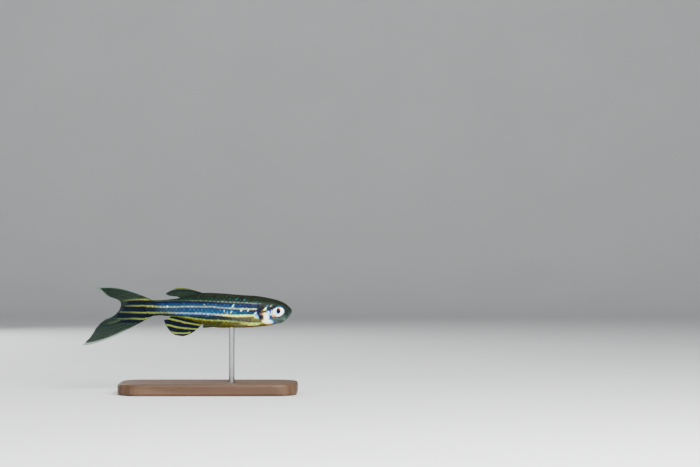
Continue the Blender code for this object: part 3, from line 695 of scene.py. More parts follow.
class Nodes:
    """Short forms for building a material's node tree."""

    def __init__(self, name):
        self.material = bpy.data.materials.new(name)
        self.material.use_nodes = True
        self.tree = self.material.node_tree

    def put(self, sockets, values):
        """Links or sets inputs, by their names or numbers."""
        for key, value in values.items():
            if isinstance(value, bpy.types.NodeSocket):
                self.tree.links.new(value, sockets[key])
            else:
                sockets[key].default_value = value

    def add(self, kind, inputs=None, output=0, **settings):
        """The output of a new node."""
        made = self.tree.nodes.new(kind)
        for key, value in settings.items():
            setattr(made, key, value)
        self.put(made.inputs, inputs or {})
        return made.outputs[output]

    def attribute(self, name, output="Fac"):
        return self.add("ShaderNodeAttribute", output=output, attribute_name=name)

    def coordinates(self):
        """Object coordinates in millimetres."""
        held = self.add("ShaderNodeTexCoord", output="Object")
        return self.add("ShaderNodeVectorMath", {0: held, "Scale": 1000.0}, "Vector", operation="SCALE")

    def stretched(self, vector, scale):
        return self.add("ShaderNodeMapping", {"Vector": vector, "Scale": scale}, "Vector")

    def noise(self, vector, scale, detail=3.0, rough=0.55):
        given = {"Vector": vector, "Scale": scale, "Detail": detail, "Roughness": rough}
        return self.add("ShaderNodeTexNoise", given, "Fac")

    def math(self, operation, first, second=0.0, clamp=False):
        return self.add("ShaderNodeMath", {0: first, 1: second}, operation=operation, use_clamp=clamp)

    def span(self, value, low, high, to_low=0.0, to_high=1.0):
        given = {"Value": value, "From Min": low, "From Max": high, "To Min": to_low, "To Max": to_high}
        return self.add("ShaderNodeMapRange", given, "Result")

    def blend(self, share, first, second, mode="MIX"):
        given = {0: share, 6: first, 7: second}
        return self.add("ShaderNodeMix", given, 2, data_type="RGBA", blend_type=mode)

    def bump(self, height, distance, strength):
        given = {"Height": height, "Distance": distance, "Strength": strength}
        return self.add("ShaderNodeBump", given, "Normal")

    def painted(self, grain, detail, shade, dots=None):
        """The stored paint made uneven by noise and by dark cells, and the noise."""
        at = self.coordinates()
        noise = self.noise(at, grain, detail, 0.6)
        level = self.span(noise, *shade)
        if dots:
            scale, *limits = dots
            cells = self.add("ShaderNodeTexVoronoi", {"Vector": at, "Scale": scale}, "Distance")
            level = self.math("MULTIPLY", level, self.span(cells, *limits))
        grey = self.add("ShaderNodeCombineColor", {"Red": level, "Green": level, "Blue": level})
        return self.blend(1.0, self.attribute("paint", "Color"), grey, "MULTIPLY"), noise

    def silvered(self, noise, low, high):
        """Metallic where the stored silveriness says so."""
        return self.math("MULTIPLY", self.attribute("silver"), self.span(noise, 0.3, 0.75, low, high), True)

    def finish(self, **inputs):
        """Sets or links the shader's inputs, with _ for spaces in their names."""
        shader = self.tree.nodes["Principled BSDF"]
        self.put(shader.inputs, {key.replace("_", " "): value for key, value in inputs.items()})
        return self.material


SKIN_GLOSS = {"Specular_IOR_Level": 0.02, "Coat_Weight": 0.02, "Coat_Roughness": 0.25}


def skin_material(name, speckle, grain):
    """Painted fish skin, speckled with dark cells."""
    nodes = Nodes(name)
    colour, fine = nodes.painted(9.0, 4.0, (0.25, 0.75, 0.72, 1.28), (11.0, 0.12, 0.34, 1 - speckle, 1.0))
    return nodes.finish(
        Base_Color=colour,
        Roughness=nodes.span(fine, 0.3, 0.7, 0.26, 0.42),
        Metallic=nodes.silvered(fine, 0.35, 0.75),
        Normal=nodes.bump(fine, 0.00002 * grain, 0.5),
        **SKIN_GLOSS,
    )


def scale_material():
    """The skin's paint with fine growth lines."""
    nodes = Nodes("scales")
    colour, fine = nodes.painted(11.0, 4.0, (0.25, 0.75, 0.75, 1.25), (13.0, 0.1, 0.3, 0.82, 1.0))
    rings = nodes.math("SINE", nodes.math("MULTIPLY", nodes.attribute("cover"), 95.0))
    return nodes.finish(
        Base_Color=colour,
        Roughness=nodes.span(fine, 0.3, 0.7, 0.24, 0.38),
        Metallic=nodes.silvered(fine, 0.5, 0.9),
        Normal=nodes.bump(rings, 0.000002, 0.5),
        **SKIN_GLOSS,
    )


# Skin

HEAD_ROWS = 190
BODY_ROWS = 250
SKIN_SIDES = 240


def mouth_frame(s, z):
    """Distance along the mouth line from its corner, and above it."""
    ds, dz = s - MOUTH_CORNER[0], z - MOUTH_CORNER[1]
    along = -ds * math.cos(MOUTH_TILT) + dz * math.sin(MOUTH_TILT)
    above = ds * math.sin(MOUTH_TILT) + dz * math.cos(MOUTH_TILT)
    return along, above


CHEEK_LINE = ((5.15, 1.3), (5.75, 0.2), (5.85, -1.0), (5.3, -2.1), (4.2, -2.65), (2.9, -2.55))
LOWER_COVER_LINE = ((8.2, -1.6), (7.2, -2.3), (6.1, -2.9))
CHEEKBONE_LINE = ((4.9, -0.9), (3.9, -1.75), (2.6, -1.75), (1.7, -1.1))


def skin_relief(s, y, z, angle):
    """How far the skin stands off the plain body, in mm."""
    edge = gill_edge(angle)
    side = np.sin(angle) ** 2
    _, _, half_width = body_outline(s)
    rise = np.clip((s / edge - GILL_RISE[0]) / (GILL_RISE[1] - GILL_RISE[0]), 0, 1)
    # Gill cover and the slot behind it
    cover = GILL_LIFT * half_width * rise**2 * side
    slot = -0.12 * bell(np.maximum(0, s - edge), 0.3) * side
    relief = np.where(s <= edge + 1e-6, cover, slot)

    # Eye socket with its rim
    eye_s, _, eye_z = EYE_AT
    ring = np.hypot((s - eye_s) / (EYE_RADII[0] + 0.06), (z - eye_z) / (EYE_RADII[2] + 0.06))
    relief = relief - 0.75 * ease(1.0, 0.9, ring) + 0.05 * bell(ring - 1.09, 0.07)

    # Mouth line between the lips
    along, above = mouth_frame(s, z)
    lips = 0.10 * bell(above - 0.19, 0.13) + 0.12 * bell(above + 0.20, 0.14)
    mouth = (lips - 0.22 * bell(above, 0.05)) * ease(-0.25, 0.12, along)
    relief = relief + np.where(s < 2.2, mouth, 0.0)

    # Nostrils
    for nostril_s, nostril_angle, radius in NOSTRILS:
        pit = body_point(nostril_s, nostril_angle)
        for mirror in (1, -1):
            away = np.sqrt((s - pit[0]) ** 2 + (y - pit[1] * mirror) ** 2 + (z - pit[2]) ** 2)
            relief = relief - 0.14 * ease(radius, radius * 0.55, away)
            relief = relief + 0.035 * bell(away - radius * 1.35, 0.06)

    # Folds of the cheek
    on_head = ease(0.1, -0.1, s - edge) * ease(0.15, 0.5, side)
    for line, width, depth in (
        (CHEEK_LINE, 0.09, 0.10),
        (LOWER_COVER_LINE, 0.07, 0.07),
        (CHEEKBONE_LINE, 0.08, 0.05),
    ):
        away = line_distance(s, z, line)
        fold = 0.035 * bell(away - 2.4 * width, width) - depth * bell(away, width)
        relief = relief + fold * on_head
    points = np.stack([s, y, z], axis=-1)
    return relief + 0.012 * lumps(points, 0.5, 12) * ease(0.3, 1.5, s)


def skin_end(angle):
    """Where the flesh ends over the tail fin, shorter at the back and belly."""
    return SKIN_END - 0.9 * np.cos(angle) ** 2


def make_skin():
    """One skin from the snout to the roots of the tail fin's rays."""
    angles = even_angle(np.arange(SKIN_SIDES) / SKIN_SIDES)
    edge = gill_edge(angles)
    shares = (np.arange(1, HEAD_ROWS + 1) / HEAD_ROWS) ** 1.35
    past = np.concatenate([[0.0006], np.linspace(0, 1, BODY_ROWS)[1:]]) ** 1.1
    s = np.vstack([edge * shares[:, None], edge + (skin_end(angles) - edge) * past[:, None]])
    angle = np.broadcast_to(angles, s.shape)
    base = body_point(s, angle)
    y, z = base[..., 1], base[..., 2]
    relief = skin_relief(s, y, z, angle) * ease(0.0, 0.12, s)
    points = base + body_normal(np.maximum(s, 0.02), angle) * relief[..., None]
    colour, silver = body_paint(s, y, z, angle)
    # Painted shade in the gap round each eye
    ring = np.hypot((s - EYE_AT[0]) / EYE_RADII[0], (z - EYE_AT[2]) / EYE_RADII[2])
    colour = tint(colour, SOCKET_SHADE, 0.8 * ease(1.05, 1.0, ring) * ease(4.9, 4.3, s))
    # Painted shade in the slit between the lips
    along, above = mouth_frame(s, z)
    inside = ease(0.07, 0.03, np.abs(above)) * ease(-0.1, 0.15, along) * ease(2.4, 2.0, s)
    colour = tint(colour, MOUTH_SHADE, 0.9 * inside)
    snout = (0.0, 0.0, body_outline(0.0)[0])
    points = np.vstack([points.reshape(-1, 3), snout, points[-1].mean(axis=0)])
    finish = skin_material("fish_skin", 0.35, 1.0)
    skin = new_object("skin", points, tube_faces(len(s), SKIN_SIDES), finish)
    colour = np.vstack([colour.reshape(-1, 3), colour[0, :1], colour[-1, :1]])
    silver = np.concatenate([silver.ravel(), silver[0, :1], silver[-1, :1]])
    add_paint(skin, colour, silver)
    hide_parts("head", "torso", "tail")


# Scales

SCALE_PITCH = 1.04  # from scale to scale in a row
SCALE_FIRST, SCALE_LAST = 7.0, 36.9
SCALE_COUNTS = ((13.0, 16), (21.5, 15), (25.5, 12), (29.5, 10), (99.0, 8))  # round the body, up to each s
SCALE_LENGTH = 1.95
SCALE_ALONG = np.array((0, 0.2, 0.36, 0.48, 0.56, 0.63, 0.70, 0.76, 0.82, 0.88, 0.94, 1.0))
SCALE_ACROSS = np.linspace(-1, 1, 15)
SCALE_THICK = 0.022
SCALE_OVERHANG = 1.26  # height of a scale, in spaces between neighbours
BAKE_PATCH = 0.003


def make_scales():
    """Overlapping scales in two coats, one for each side."""
    columns = int((SCALE_LAST - SCALE_FIRST) / (SCALE_PITCH / 2))
    roots = []
    for column in range(columns):
        s_root = SCALE_FIRST + column * SCALE_PITCH / 2
        around = next(count for limit, count in SCALE_COUNTS if s_root < limit)
        for row in range(around):
            turn = (row + 0.25 + 0.5 * (column % 2)) / around % 1.0
            angle = even_angle(turn)
            ends = s_root + SCALE_LENGTH < skin_end(angle) + 0.9
            if s_root > gill_edge(angle) - 0.3 and ends:
                roots.append((s_root, turn, around))
    roots = np.array(roots)
    draws = RANDOM.random((len(roots), 6))
    for name, chosen, upward in (
        ("scales_right", roots[:, 1] < 0.5, -1),
        ("scales_left", roots[:, 1] >= 0.5, 1),
    ):
        scale_coat(name, roots[chosen], draws[chosen], upward)


def scale_coat(name, roots, draws, upward):
    """One object of many scales, each a thin curved plate over the skin."""
    a = SCALE_ALONG[None, :, None]
    b = SCALE_ACROSS[None, None, :]
    s_root, turn, around = [roots[:, k][:, None, None] for k in range(3)]
    size, tilt, warp, shade, shine = [draws[:, k][:, None, None] for k in range(5)]
    length = SCALE_LENGTH * (0.96 + 0.08 * size)
    back = a * (1 - 0.34 * b**2) + 0.10 * b**2
    s = s_root + length * back
    breadth = 0.88 + 0.12 * np.sin(math.pi * np.clip(a * 1.15, 0, 1))
    angle = even_angle(turn + b * 0.5 * SCALE_OVERHANG / around * breadth)
    base = body_point(s, angle)
    normal = body_normal(s, angle)
    tip = 0.095 + 0.03 * (tilt - 0.5)
    lift = -0.02 + tip * a**1.2 * (1 - 0.5 * b**2) + 0.014 * (warp - 0.5) * b * a
    lift = lift * ease(SKIN_END + 1.2, SKIN_END - 2, s)
    top = base + normal * lift[..., None]

    coat = Coat(*body_paint(s, base[..., 1], base[..., 2], angle))
    # Each scale is darker at its rim, and lighter at its middle with a painted sheen, sky blue on the blue
    # bands
    rim = ease(0.84, 1.0, np.maximum(a, np.abs(b)))
    centre = bell(a - 0.76, 0.10) * bell(b * upward - 0.1, 0.42)
    bright = (0.86 + 0.28 * shade) * (1 - 0.35 * rim) * (1 + 0.7 * centre * ease(0.3, 0.9, shine))
    coat.colour = np.clip(coat.colour * bright[..., None], 0, 1)
    lit = centre * ease(0.55, 0.95, shine) * blue_part(s, base[..., 2]) * ease(11, 15, s)
    coat.lay(SKY, 0.3 * lit, 0.4)
    reach = np.hypot(length * (back - 0.45), b * 0.75)

    rows, columns = len(SCALE_ALONG), len(SCALE_ACROSS)
    count, per = len(roots), rows * columns
    line = grid_rim(rows, columns)
    edge = len(line)
    total = per + edge + 1
    over = np.concatenate([np.arange(per), line, [per // 2]])  # what each point lies under
    sunk = np.repeat((0.0, SCALE_THICK, SCALE_THICK + 0.05), (per, edge, 1))[:, None]

    def spread(values):
        return values.reshape(count, per, -1)[:, over]

    points = spread(top) - spread(normal) * sunk
    ring = per + np.arange(edge)
    after = np.roll(ring, -1)
    sides = np.stack([line, np.roll(line, -1), after, ring], axis=-1)
    fan = np.stack([ring, after, np.full(edge, per + edge)], axis=-1)
    jumps = (np.arange(count) * total)[:, None, None]
    faces = (np.vstack([grid_faces(rows, columns), sides])[None] + jumps).reshape(-1, 4).tolist()
    faces += (fan[None] + jumps).reshape(-1, 3).tolist()
    made = new_object(name, points.reshape(-1, 3), faces, scale_material())

    add_paint(made, spread(coat.colour).reshape(-1, 3), spread(coat.silver).ravel(), spread(reach).ravel())
    flat = np.stack(np.broadcast_arrays(a[0], (b[0] + 1) / 2), axis=-1).reshape(per, 2)
    add_bake_map(made, roots, np.concatenate([flat, flat[line], [[0.5, 0.5]]]))


def blue_part(s, z):
    """1 on the two blue bands."""
    upper, middle, lower, _ = line_heights(s)
    high = ease(upper - 0.25, upper - 0.45, z) * ease(middle + 0.25, middle + 0.45, z)
    low = ease(middle - 0.25, middle - 0.45, z) * ease(lower + 0.25, lower + 0.45, z)
    return (high + low) * ease(34, 31, s)


def add_bake_map(coat, roots, local):
    """A UV map with a small patch for each scale, at its root's place on the unrolled skin."""
    middle = 0.02 + 0.96 * np.stack([roots[:, 0] / SKIN_END, roots[:, 1]], axis=-1)
    spots = (middle[:, None, :] + (local[None] - 0.5) * BAKE_PATCH).reshape(-1, 2)
    layer = coat.data.uv_layers.new(name="OFBake")
    order = np.empty(len(coat.data.loops), int)
    coat.data.loops.foreach_get("vertex_index", order)
    layer.data.foreach_set("uv", spots[order].ravel())


# Eyes

EYE_ROWS, EYE_COLUMNS = 110, 180
PUPIL_DOME = 0.07


def eye_material():
    nodes = Nodes("eye_iris")
    colour, fine = nodes.painted(14.0, 3.0, (0.3, 0.7, 0.9, 1.1))
    return nodes.finish(
        Base_Color=colour,
        Metallic=nodes.math("MULTIPLY", nodes.attribute("silver"), 0.15),
        Roughness=0.25,
        Normal=nodes.bump(fine, 0.000006, 0.5),
        Specular_IOR_Level=0.03,
        Coat_Weight=0.08,
        Coat_Roughness=0.03,
    )


def eye_paint(s, z, out):
    """Colour and silveriness of an eye, in the side view. Out is 1 at its outermost point."""
    white = ellipse_reach(s, z, WHITE_AT, WHITE_RADII, WHITE_TURN)
    pupil = ellipse_reach(s, z, PUPIL_AT, PUPIL_RADII)
    turn = np.arctan2(z - PUPIL_AT[1], s - PUPIL_AT[0])
    ring = np.stack([np.cos(turn) * 3.0, np.sin(turn) * 3.0, pupil * 0.5], axis=-1)
    rays = lumps(ring, (0.14, 0.14, 0.7), 21)
    broad = lumps(ring, (1.3, 1.3, 2.0), 22)

    def facing(degrees, width):
        """1 where the turn round the pupil faces the given way, 0 beyond a width from it."""
        return ease(math.cos(math.radians(width)), 1.0, np.cos(turn - math.radians(degrees)))

    iris = tint(SILVER, rgb(0.62, 0.74, 0.86), 0.30 * ease(-0.2, 0.6, rays))
    close = ease(1.75, 1.15, pupil + 0.05 * broad)
    for tone, share, way, width, edge in (
        (rgb(0.40, 0.90, 0.97), 0.60, 200, 75, ease(0.75, 0.97, white)),
        (rgb(0.12, 0.62, 0.60), 0.90, 100, 75, ease(0.74, 0.95, white)),
        (rgb(0.97, 0.42, 0.14), 0.85, -50, 55, ease(0.76, 0.97, white)),
        (rgb(0.72, 0.78, 0.24), 0.60, 0, 35, ease(0.80, 0.97, white)),
        (rgb(0.97, 0.36, 0.01), 0.90, 115, 75, close),
        (rgb(0.02, 0.30, 0.90), 0.85, -35, 75, close),
    ):
        iris = tint(iris, tone, share * edge * facing(way, width))
    rim = tint(CHEEK_GREY * 0.8, rgb(0.004, 0.014, 0.075), ease(-0.35, 0.35, np.sin(turn + 0.35)))
    rim = tint(rim, rgb(0.012, 0.055, 0.080), 0.9 * facing(80, 50))
    colour = tint(iris, rim, ease(0.90, 1.01, white + 0.03 * rays))
    hole = ease(1.04, 0.96, pupil)
    blue = 0.9 * facing(-35, 80) * ease(0.30, 0.95, pupil)
    inner = tint(rgb(0.0015, 0.0015, 0.004), rgb(0.002, 0.010, 0.100), blue)
    inner = tint(inner, rgb(0.085, 0.010, 0.003), 0.8 * facing(130, 70) * ease(0.45, 0.98, pupil))
    colour = tint(colour, inner, hole)
    front = ease(-0.15, 0.1, out)
    colour = tint(rgb(0.02, 0.02, 0.022), colour, front)
    return colour, (1 - hole) * ease(1.02, 0.94, white) * front


def make_eyes():
    """Flattened eyeballs with a silver iris and a domed dark pupil."""
    finish = eye_material()
    out = np.sin(np.linspace(-0.5, 0.5, EYE_ROWS)[1:-1] * math.pi)[:, None]
    turns = 2 * math.pi * np.arange(EYE_COLUMNS) / EYE_COLUMNS
    radius = np.sqrt(1 - out**2)
    s = EYE_AT[0] + EYE_RADII[0] * radius * np.cos(turns)
    z = EYE_AT[2] + EYE_RADII[2] * radius * np.sin(turns)
    dome = PUPIL_DOME * ease(1.25, 0.2, ellipse_reach(s, z, PUPIL_AT, PUPIL_RADII)) * (out > 0)
    y = EYE_AT[1] + EYE_RADII[1] * out + dome
    inmost = (EYE_AT[0], EYE_AT[1] - EYE_RADII[1], EYE_AT[2])
    outmost = (EYE_AT[0], EYE_AT[1] + EYE_RADII[1] + PUPIL_DOME, EYE_AT[2])
    points = np.vstack([np.stack([s, y, z], axis=-1).reshape(-1, 3), inmost, outmost])
    outward = np.append(np.repeat(out[:, 0], EYE_COLUMNS), (-1, 1))
    colour, silver = eye_paint(points[:, 0], points[:, 2], outward)
    faces = tube_faces(len(out), EYE_COLUMNS)
    for side, tag in ((-1, "right"), (1, "left")):
        turned = [face[::-side] for face in faces]
        ball = new_object(f"eye_{tag}_ball", points * (1, side, 1), turned, finish)
        add_paint(ball, colour, silver)
        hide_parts(f"eye_{tag}")


# Fins

WEB_ROWS = 64
WEB_COLUMNS = 8  # from ray to ray
RAY_SIDES = 6
RAY_JOINT = 0.36  # from joint to joint
ROOT_SUNK = 0.25
ROOT_OUT = GAP + 0.29  # off the skin, where the paired fins begin to spread
# Branches of a forked ray: how far either fork leads them, in spaces between rays, and where they start
RAY_FORKS = ((-0.13, -0.07, 0.0), (-0.13, 0.07, 0.62), (0.13, -0.07, 0.62), (0.13, 0.07, 0.38))


def side_curve(points, sway):
    """A curve through (s, z) points, read by share, with a sway across."""
    points = np.array(points, float)
    steps = np.linalg.norm(np.diff(points, axis=0), axis=1)
    shares = np.concatenate([[0], np.cumsum(steps)]) / steps.sum()

    def read(u):
        found = smooth_curve(shares, points, u)
        s, z = found[..., 0], found[..., 1]
        return np.stack([s, spine_swing(s) + sway(u) + 0 * u, z], axis=-1)

    return read


def root_along(first, last, below=False):
    """Root line of a fin, sunk into the back or belly."""

    def read(u):
        s = first + (last - first) * u
        top, bottom, _ = body_outline(s)
        return np.stack([s, spine_swing(s), bottom + ROOT_SUNK if below else top - ROOT_SUNK], axis=-1)

    return read


def fin_point(curves, u, v):
    """Point of a fin, u across the rays and v from the root to the margin."""
    u, v = np.broadcast_arrays(u, v)
    weights = ((1 - v) ** 3, 3 * v * (1 - v) ** 2, 3 * v**2 * (1 - v), v**3)
    return sum(w[..., None] * curve(u) for w, curve in zip(weights, curves))


class Fin(NamedTuple):
    """A fin with its curves, its rays and what paints it."""

    name: str
    curves: tuple
    rays: int
    paint: Callable
    length: float
    ray_radius: float = 0.055
    slot: str = "fin"
    nick: float = 0.012

    def node(self):
        """Name of the fin's solid, such as caudal_fin_upper for caudal_upper."""
        first, *rest = self.name.split("_")
        return "_".join([first, "fin", *rest])

    def point(self, u, v):
        """Point of the fin, which waves a little and is nicked between the rays."""
        across = math.pi * u * (self.rays - 1)
        found = fin_point(self.curves, u, v * (1 - self.nick * np.abs(np.sin(across))))
        wave = 0.10 * np.sin(5.0 * u + 2.2 * v) * v**2
        slack = 0.018 * np.sin(across) ** 2 * np.sin(math.pi * v)
        found[..., 1] += wave + slack
        return found


def membrane_material(name):
    nodes = Nodes(name)
    colour, fine = nodes.painted(7.0, 4.0, (0.3, 0.7, 0.75, 1.2), (9.0, 0.1, 0.3, 0.8, 1.0))
    alpha = nodes.math("MULTIPLY", nodes.attribute("cover"), nodes.span(fine, 0.3, 0.7, 0.9, 1.1), True)
    return nodes.finish(
        Base_Color=colour,
        Alpha=alpha,
        Roughness=0.32,
        Normal=nodes.bump(fine, 0.00001, 0.5),
        Specular_IOR_Level=0.02,
        Coat_Weight=0.02,
        Coat_Roughness=0.08,
    )


def make_fin(fin, web_finish, ray_finish):
    """Web and rays of one fin."""
    columns, rows = (fin.rays - 1) * WEB_COLUMNS + 1, WEB_ROWS
    u, v = np.meshgrid(np.linspace(0, 1, columns), np.linspace(0, 1, rows))
    grid = fin.point(u, v)
    normal = np.cross(np.gradient(grid, axis=0), np.gradient(grid, axis=1))
    normal /= np.linalg.norm(normal, axis=-1, keepdims=True)
    half = (0.022 - 0.012 * v)[..., None]
    per = rows * columns
    points = np.vstack([(grid + normal * half).reshape(-1, 3), (grid - normal * half).reshape(-1, 3)])
    quads = grid_faces(rows, columns, fold=1)
    here = grid_rim(rows, columns)
    after = np.roll(here, -1)
    sides = np.stack([after, here, here + per, after + per], axis=-1)
    faces = np.vstack([quads[:, ::-1], quads + per, sides])
    web = new_object(f"{fin.name}_web", points, faces.tolist(), web_finish)
    colour, cover = fin.paint(u, v, grid, False)
    add_paint(web, np.vstack([colour.reshape(-1, 3)] * 2), None, np.tile(cover.ravel(), 2))
    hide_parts(fin.node())
    make_rays(fin, ray_finish)


def make_rays(fin, finish):
    """Jointed rays that fork twice on the way to the margin."""
    paths = []
    for ray in range(fin.rays):
        whole = ray in (0, 1, fin.rays - 1)
        paths += [(ray, *fork) for fork in (((0.0, 0.0, 0.0),) if whole else RAY_FORKS)]
    ray, first_fork, second_fork, start = [np.array(column)[:, None] for column in zip(*paths)]
    v = start + (0.995 - start) * np.linspace(0, 1, int(fin.length * 11))
    spread = first_fork * ease(0.36, 0.75, v) + second_fork * ease(0.60, 0.95, v)
    u = np.clip((ray + spread) / (fin.rays - 1), 0, 1)
    path = fin.point(u, v)
    joints = 1 + 0.10 * np.sign(np.sin(v * fin.length * 2 * math.pi / RAY_JOINT)) * ease(0.12, 0.3, v)
    stout = np.where((ray == 0) | (ray == fin.rays - 1), 1.25, 1.0)
    radius = fin.ray_radius * stout * (1 - 0.45 * v - 0.28 * ease(0.36, 0.8, v)) * joints
    rays = tubes(f"{fin.name}_rays", path, radius, RAY_SIDES, finish)
    colour, cover = fin.paint(u, v, path, True)
    add_paint(rays, over_tubes(colour, RAY_SIDES), None, over_tubes(cover[..., None], RAY_SIDES)[:, 0])


WEB_OLIVE = rgb(0.0064, 0.0150, 0.0108)
RAY_OLIVE = rgb(0.0250, 0.0350, 0.0200)
FIN_EDGE = rgb(0.190, 0.265, 0.220)

# Gold lines of the tail fin: heights from the body's end back, and where each fades out
TAIL_STATIONS = (33.0, 36.2, 38.8, 41.4, 44.0, 46.5)
TAIL_LINES = (
    ((2.74, 2.98, 3.17, 3.08, 2.71, 2.60), 43.9),
    ((1.32, 1.46, 1.52, 1.50, 1.45, 1.40), 43.7),
    ((-0.22, -0.26, -0.27, -0.22, -0.12, -0.05), 45.3),
    ((-1.20, -1.49, -1.84, -1.81, -1.88, -1.75), 45.6),
)
TAIL_BRANCH = ((44.3, -1.9), (45.6, -2.5), (47.6, -3.15))
TAIL_DARKS = ((0, 1, 43.2), (1, 2, 44.4), (2, 3, 45.9))
ANAL_STATIONS = (23.6, 25.6, 27.7, 29.8, 31.8, 33.0)
ANAL_LINES = (
    (-3.43, -3.08, -2.73, -2.21, -1.82, -1.75),
    (-4.60, -4.40, -4.22, -3.95, -3.42, -3.28),
    (-5.10, -5.28, -5.52, -5.47, -4.95, -4.60),
)
DORSAL_EDGE = (
    (22.4, 24.0, 25.1, 26.4, 27.7, 29.0, 30.3, 31.6, 32.9),
    (5.05, 5.45, 5.75, 6.00, 6.12, 6.12, 6.00, 5.60, 4.85),
)


def caudal_paint(upper, u, v, at, ray):
    """Gold lines on near black that run on from the body and fade out in the lobes."""
    s = at[..., 0]
    rough = lumps(at, (1.2, 3.0, 0.4), 31)
    z = at[..., 2] + 0.07 * rough
    fine = ease(0.0, 0.7, lumps(at, (0.5, 2.0, 0.25), 32))
    colour = tint(RAY_OLIVE if ray else WEB_OLIVE, OLIVE, 0.5 * fine)
    cover = np.full(s.shape, 0.97 if ray else 0.82)
    centres = [smooth_curve(TAIL_STATIONS, heights, s) for heights, _ in TAIL_LINES]
    darks = [(centres[a], centres[b], stop) for a, b, stop in TAIL_DARKS]
    darks.append((centres[3] - 0.30, centres[3] - 1.05, 45.2))
    for high, low, stop in darks:
        inside = ease(high + 0.08, high - 0.08, z) * ease(low - 0.08, low + 0.08, z)
        dark = inside * ease(stop + 0.5, stop - 0.9, s + 0.3 * rough)
        colour = tint(colour, FIN_NAVY, dark)
        cover = np.maximum(cover, 0.97 * dark)
    for centre, (_, stop) in zip(centres, TAIL_LINES):
        gold = ease(0.28, 0.12, np.abs(z - centre)) * ease(stop + 0.3, stop - 1.0, s + 0.3 * rough)
        colour = tint(colour, fin_gold(s, (z - centre) / 0.26), gold)
        cover = np.maximum(cover, 0.95 * gold)
    if upper:
        rim = ease(0.07, 0.02, u) * ease(0.1, 0.5, v) * 0.65
        turned = ease(0.955, 0.985, v) * ease(0.55, 0.25, u)
        rim = np.maximum(rim, turned * 0.95)
    else:
        branch = ease(0.24, 0.08, line_distance(s, z, TAIL_BRANCH))
        colour = tint(colour, FIN_GOLD_FAR, 0.8 * branch)
        spots = blob(s, z, (46.7, -1.95), (0.7, 0.22), 0.3) + blob(s, z, (48.0, -3.7), (0.8, 0.2), 0.5)
        colour = tint(colour, FIN_NAVY * 2, 0.7 * spots)
        rim = ease(0.92, 0.965, u) * ease(0.25, 0.6, v) * 0.9
    colour = tint(colour, FIN_EDGE, 0.85 * rim)
    cover = np.maximum(cover, 0.9 * rim)
    return colour, cover


def anal_paint(u, v, at, ray):
    """Three gold bands on near-black navy inside a clear edge."""
    s = at[..., 0]
    z = at[..., 2] + 0.06 * lumps(at, (1.0, 3.0, 0.4), 33)
    colour = FIN_NAVY
    cover = np.full(s.shape, 0.96)
    for heights, fades in zip(ANAL_LINES, (22.6, 23.9, 25.8)):
        across = (z - smooth_curve(ANAL_STATIONS, heights, s)) / 0.26
        gold = ease(1.1, 0.5, np.abs(across)) * ease(fades, fades + 0.6, s)
        colour = tint(colour, fin_gold(s, across), gold)
    clear = ease(0.94, 0.985, v + 0.006 * lumps(at, 0.3, 34))
    colour = tint(colour, WEB_OLIVE, clear)
    return colour, cover * (1 - (0.1 if ray else 0.4) * clear)


def dorsal_paint(u, v, at, ray):
    """Olive web with a gold upper edge over a dark line."""
    s = at[..., 0]
    rough = lumps(at, (1.0, 3.0, 0.4), 35)
    colour = tint(RAY_OLIVE if ray else WEB_OLIVE, OLIVE, 0.3 + 0.3 * rough)
    cover = np.full(s.shape, 0.97 if ray else 0.88)
    inward = smooth_curve(*DORSAL_EDGE, s) - at[..., 2] + 0.04 * rough
    along = ease(22.8, 24.4, s)
    dark = ease(0.30, 0.41, inward) * ease(0.90, 0.65, inward)
    colour = tint(colour, FIN_NAVY * 1.5, 0.9 * dark * along)
    gold = ease(0.39, 0.29, inward) * along
    edge = tint(rgb(0.060, 0.070, 0.007), rgb(0.100, 0.150, 0.105), ease(29.5, 32.0, s))
    colour = tint(colour, edge, 0.95 * gold)
    cover = np.maximum(cover, 0.95 * np.maximum(gold, dark))
    return colour, cover


def pectoral_paint(u, v, at, ray):
    colour = rgb(0.110, 0.105, 0.060) if ray else rgb(0.060, 0.065, 0.045)
    return np.broadcast_to(colour, at.shape), np.full(at.shape[:-1], 0.42 if ray else 0.08)


def pelvic_paint(u, v, at, ray):
    rough = ease(-0.2, 0.6, lumps(at, (0.8, 2.0, 0.5), 37))
    first = rgb(0.046, 0.046, 0.010) if ray else rgb(0.028, 0.031, 0.007)
    colour = tint(first, WEB_OLIVE, 0.4 * rough)
    return colour, np.full(at.shape[:-1], 0.93 if ray else 0.60)


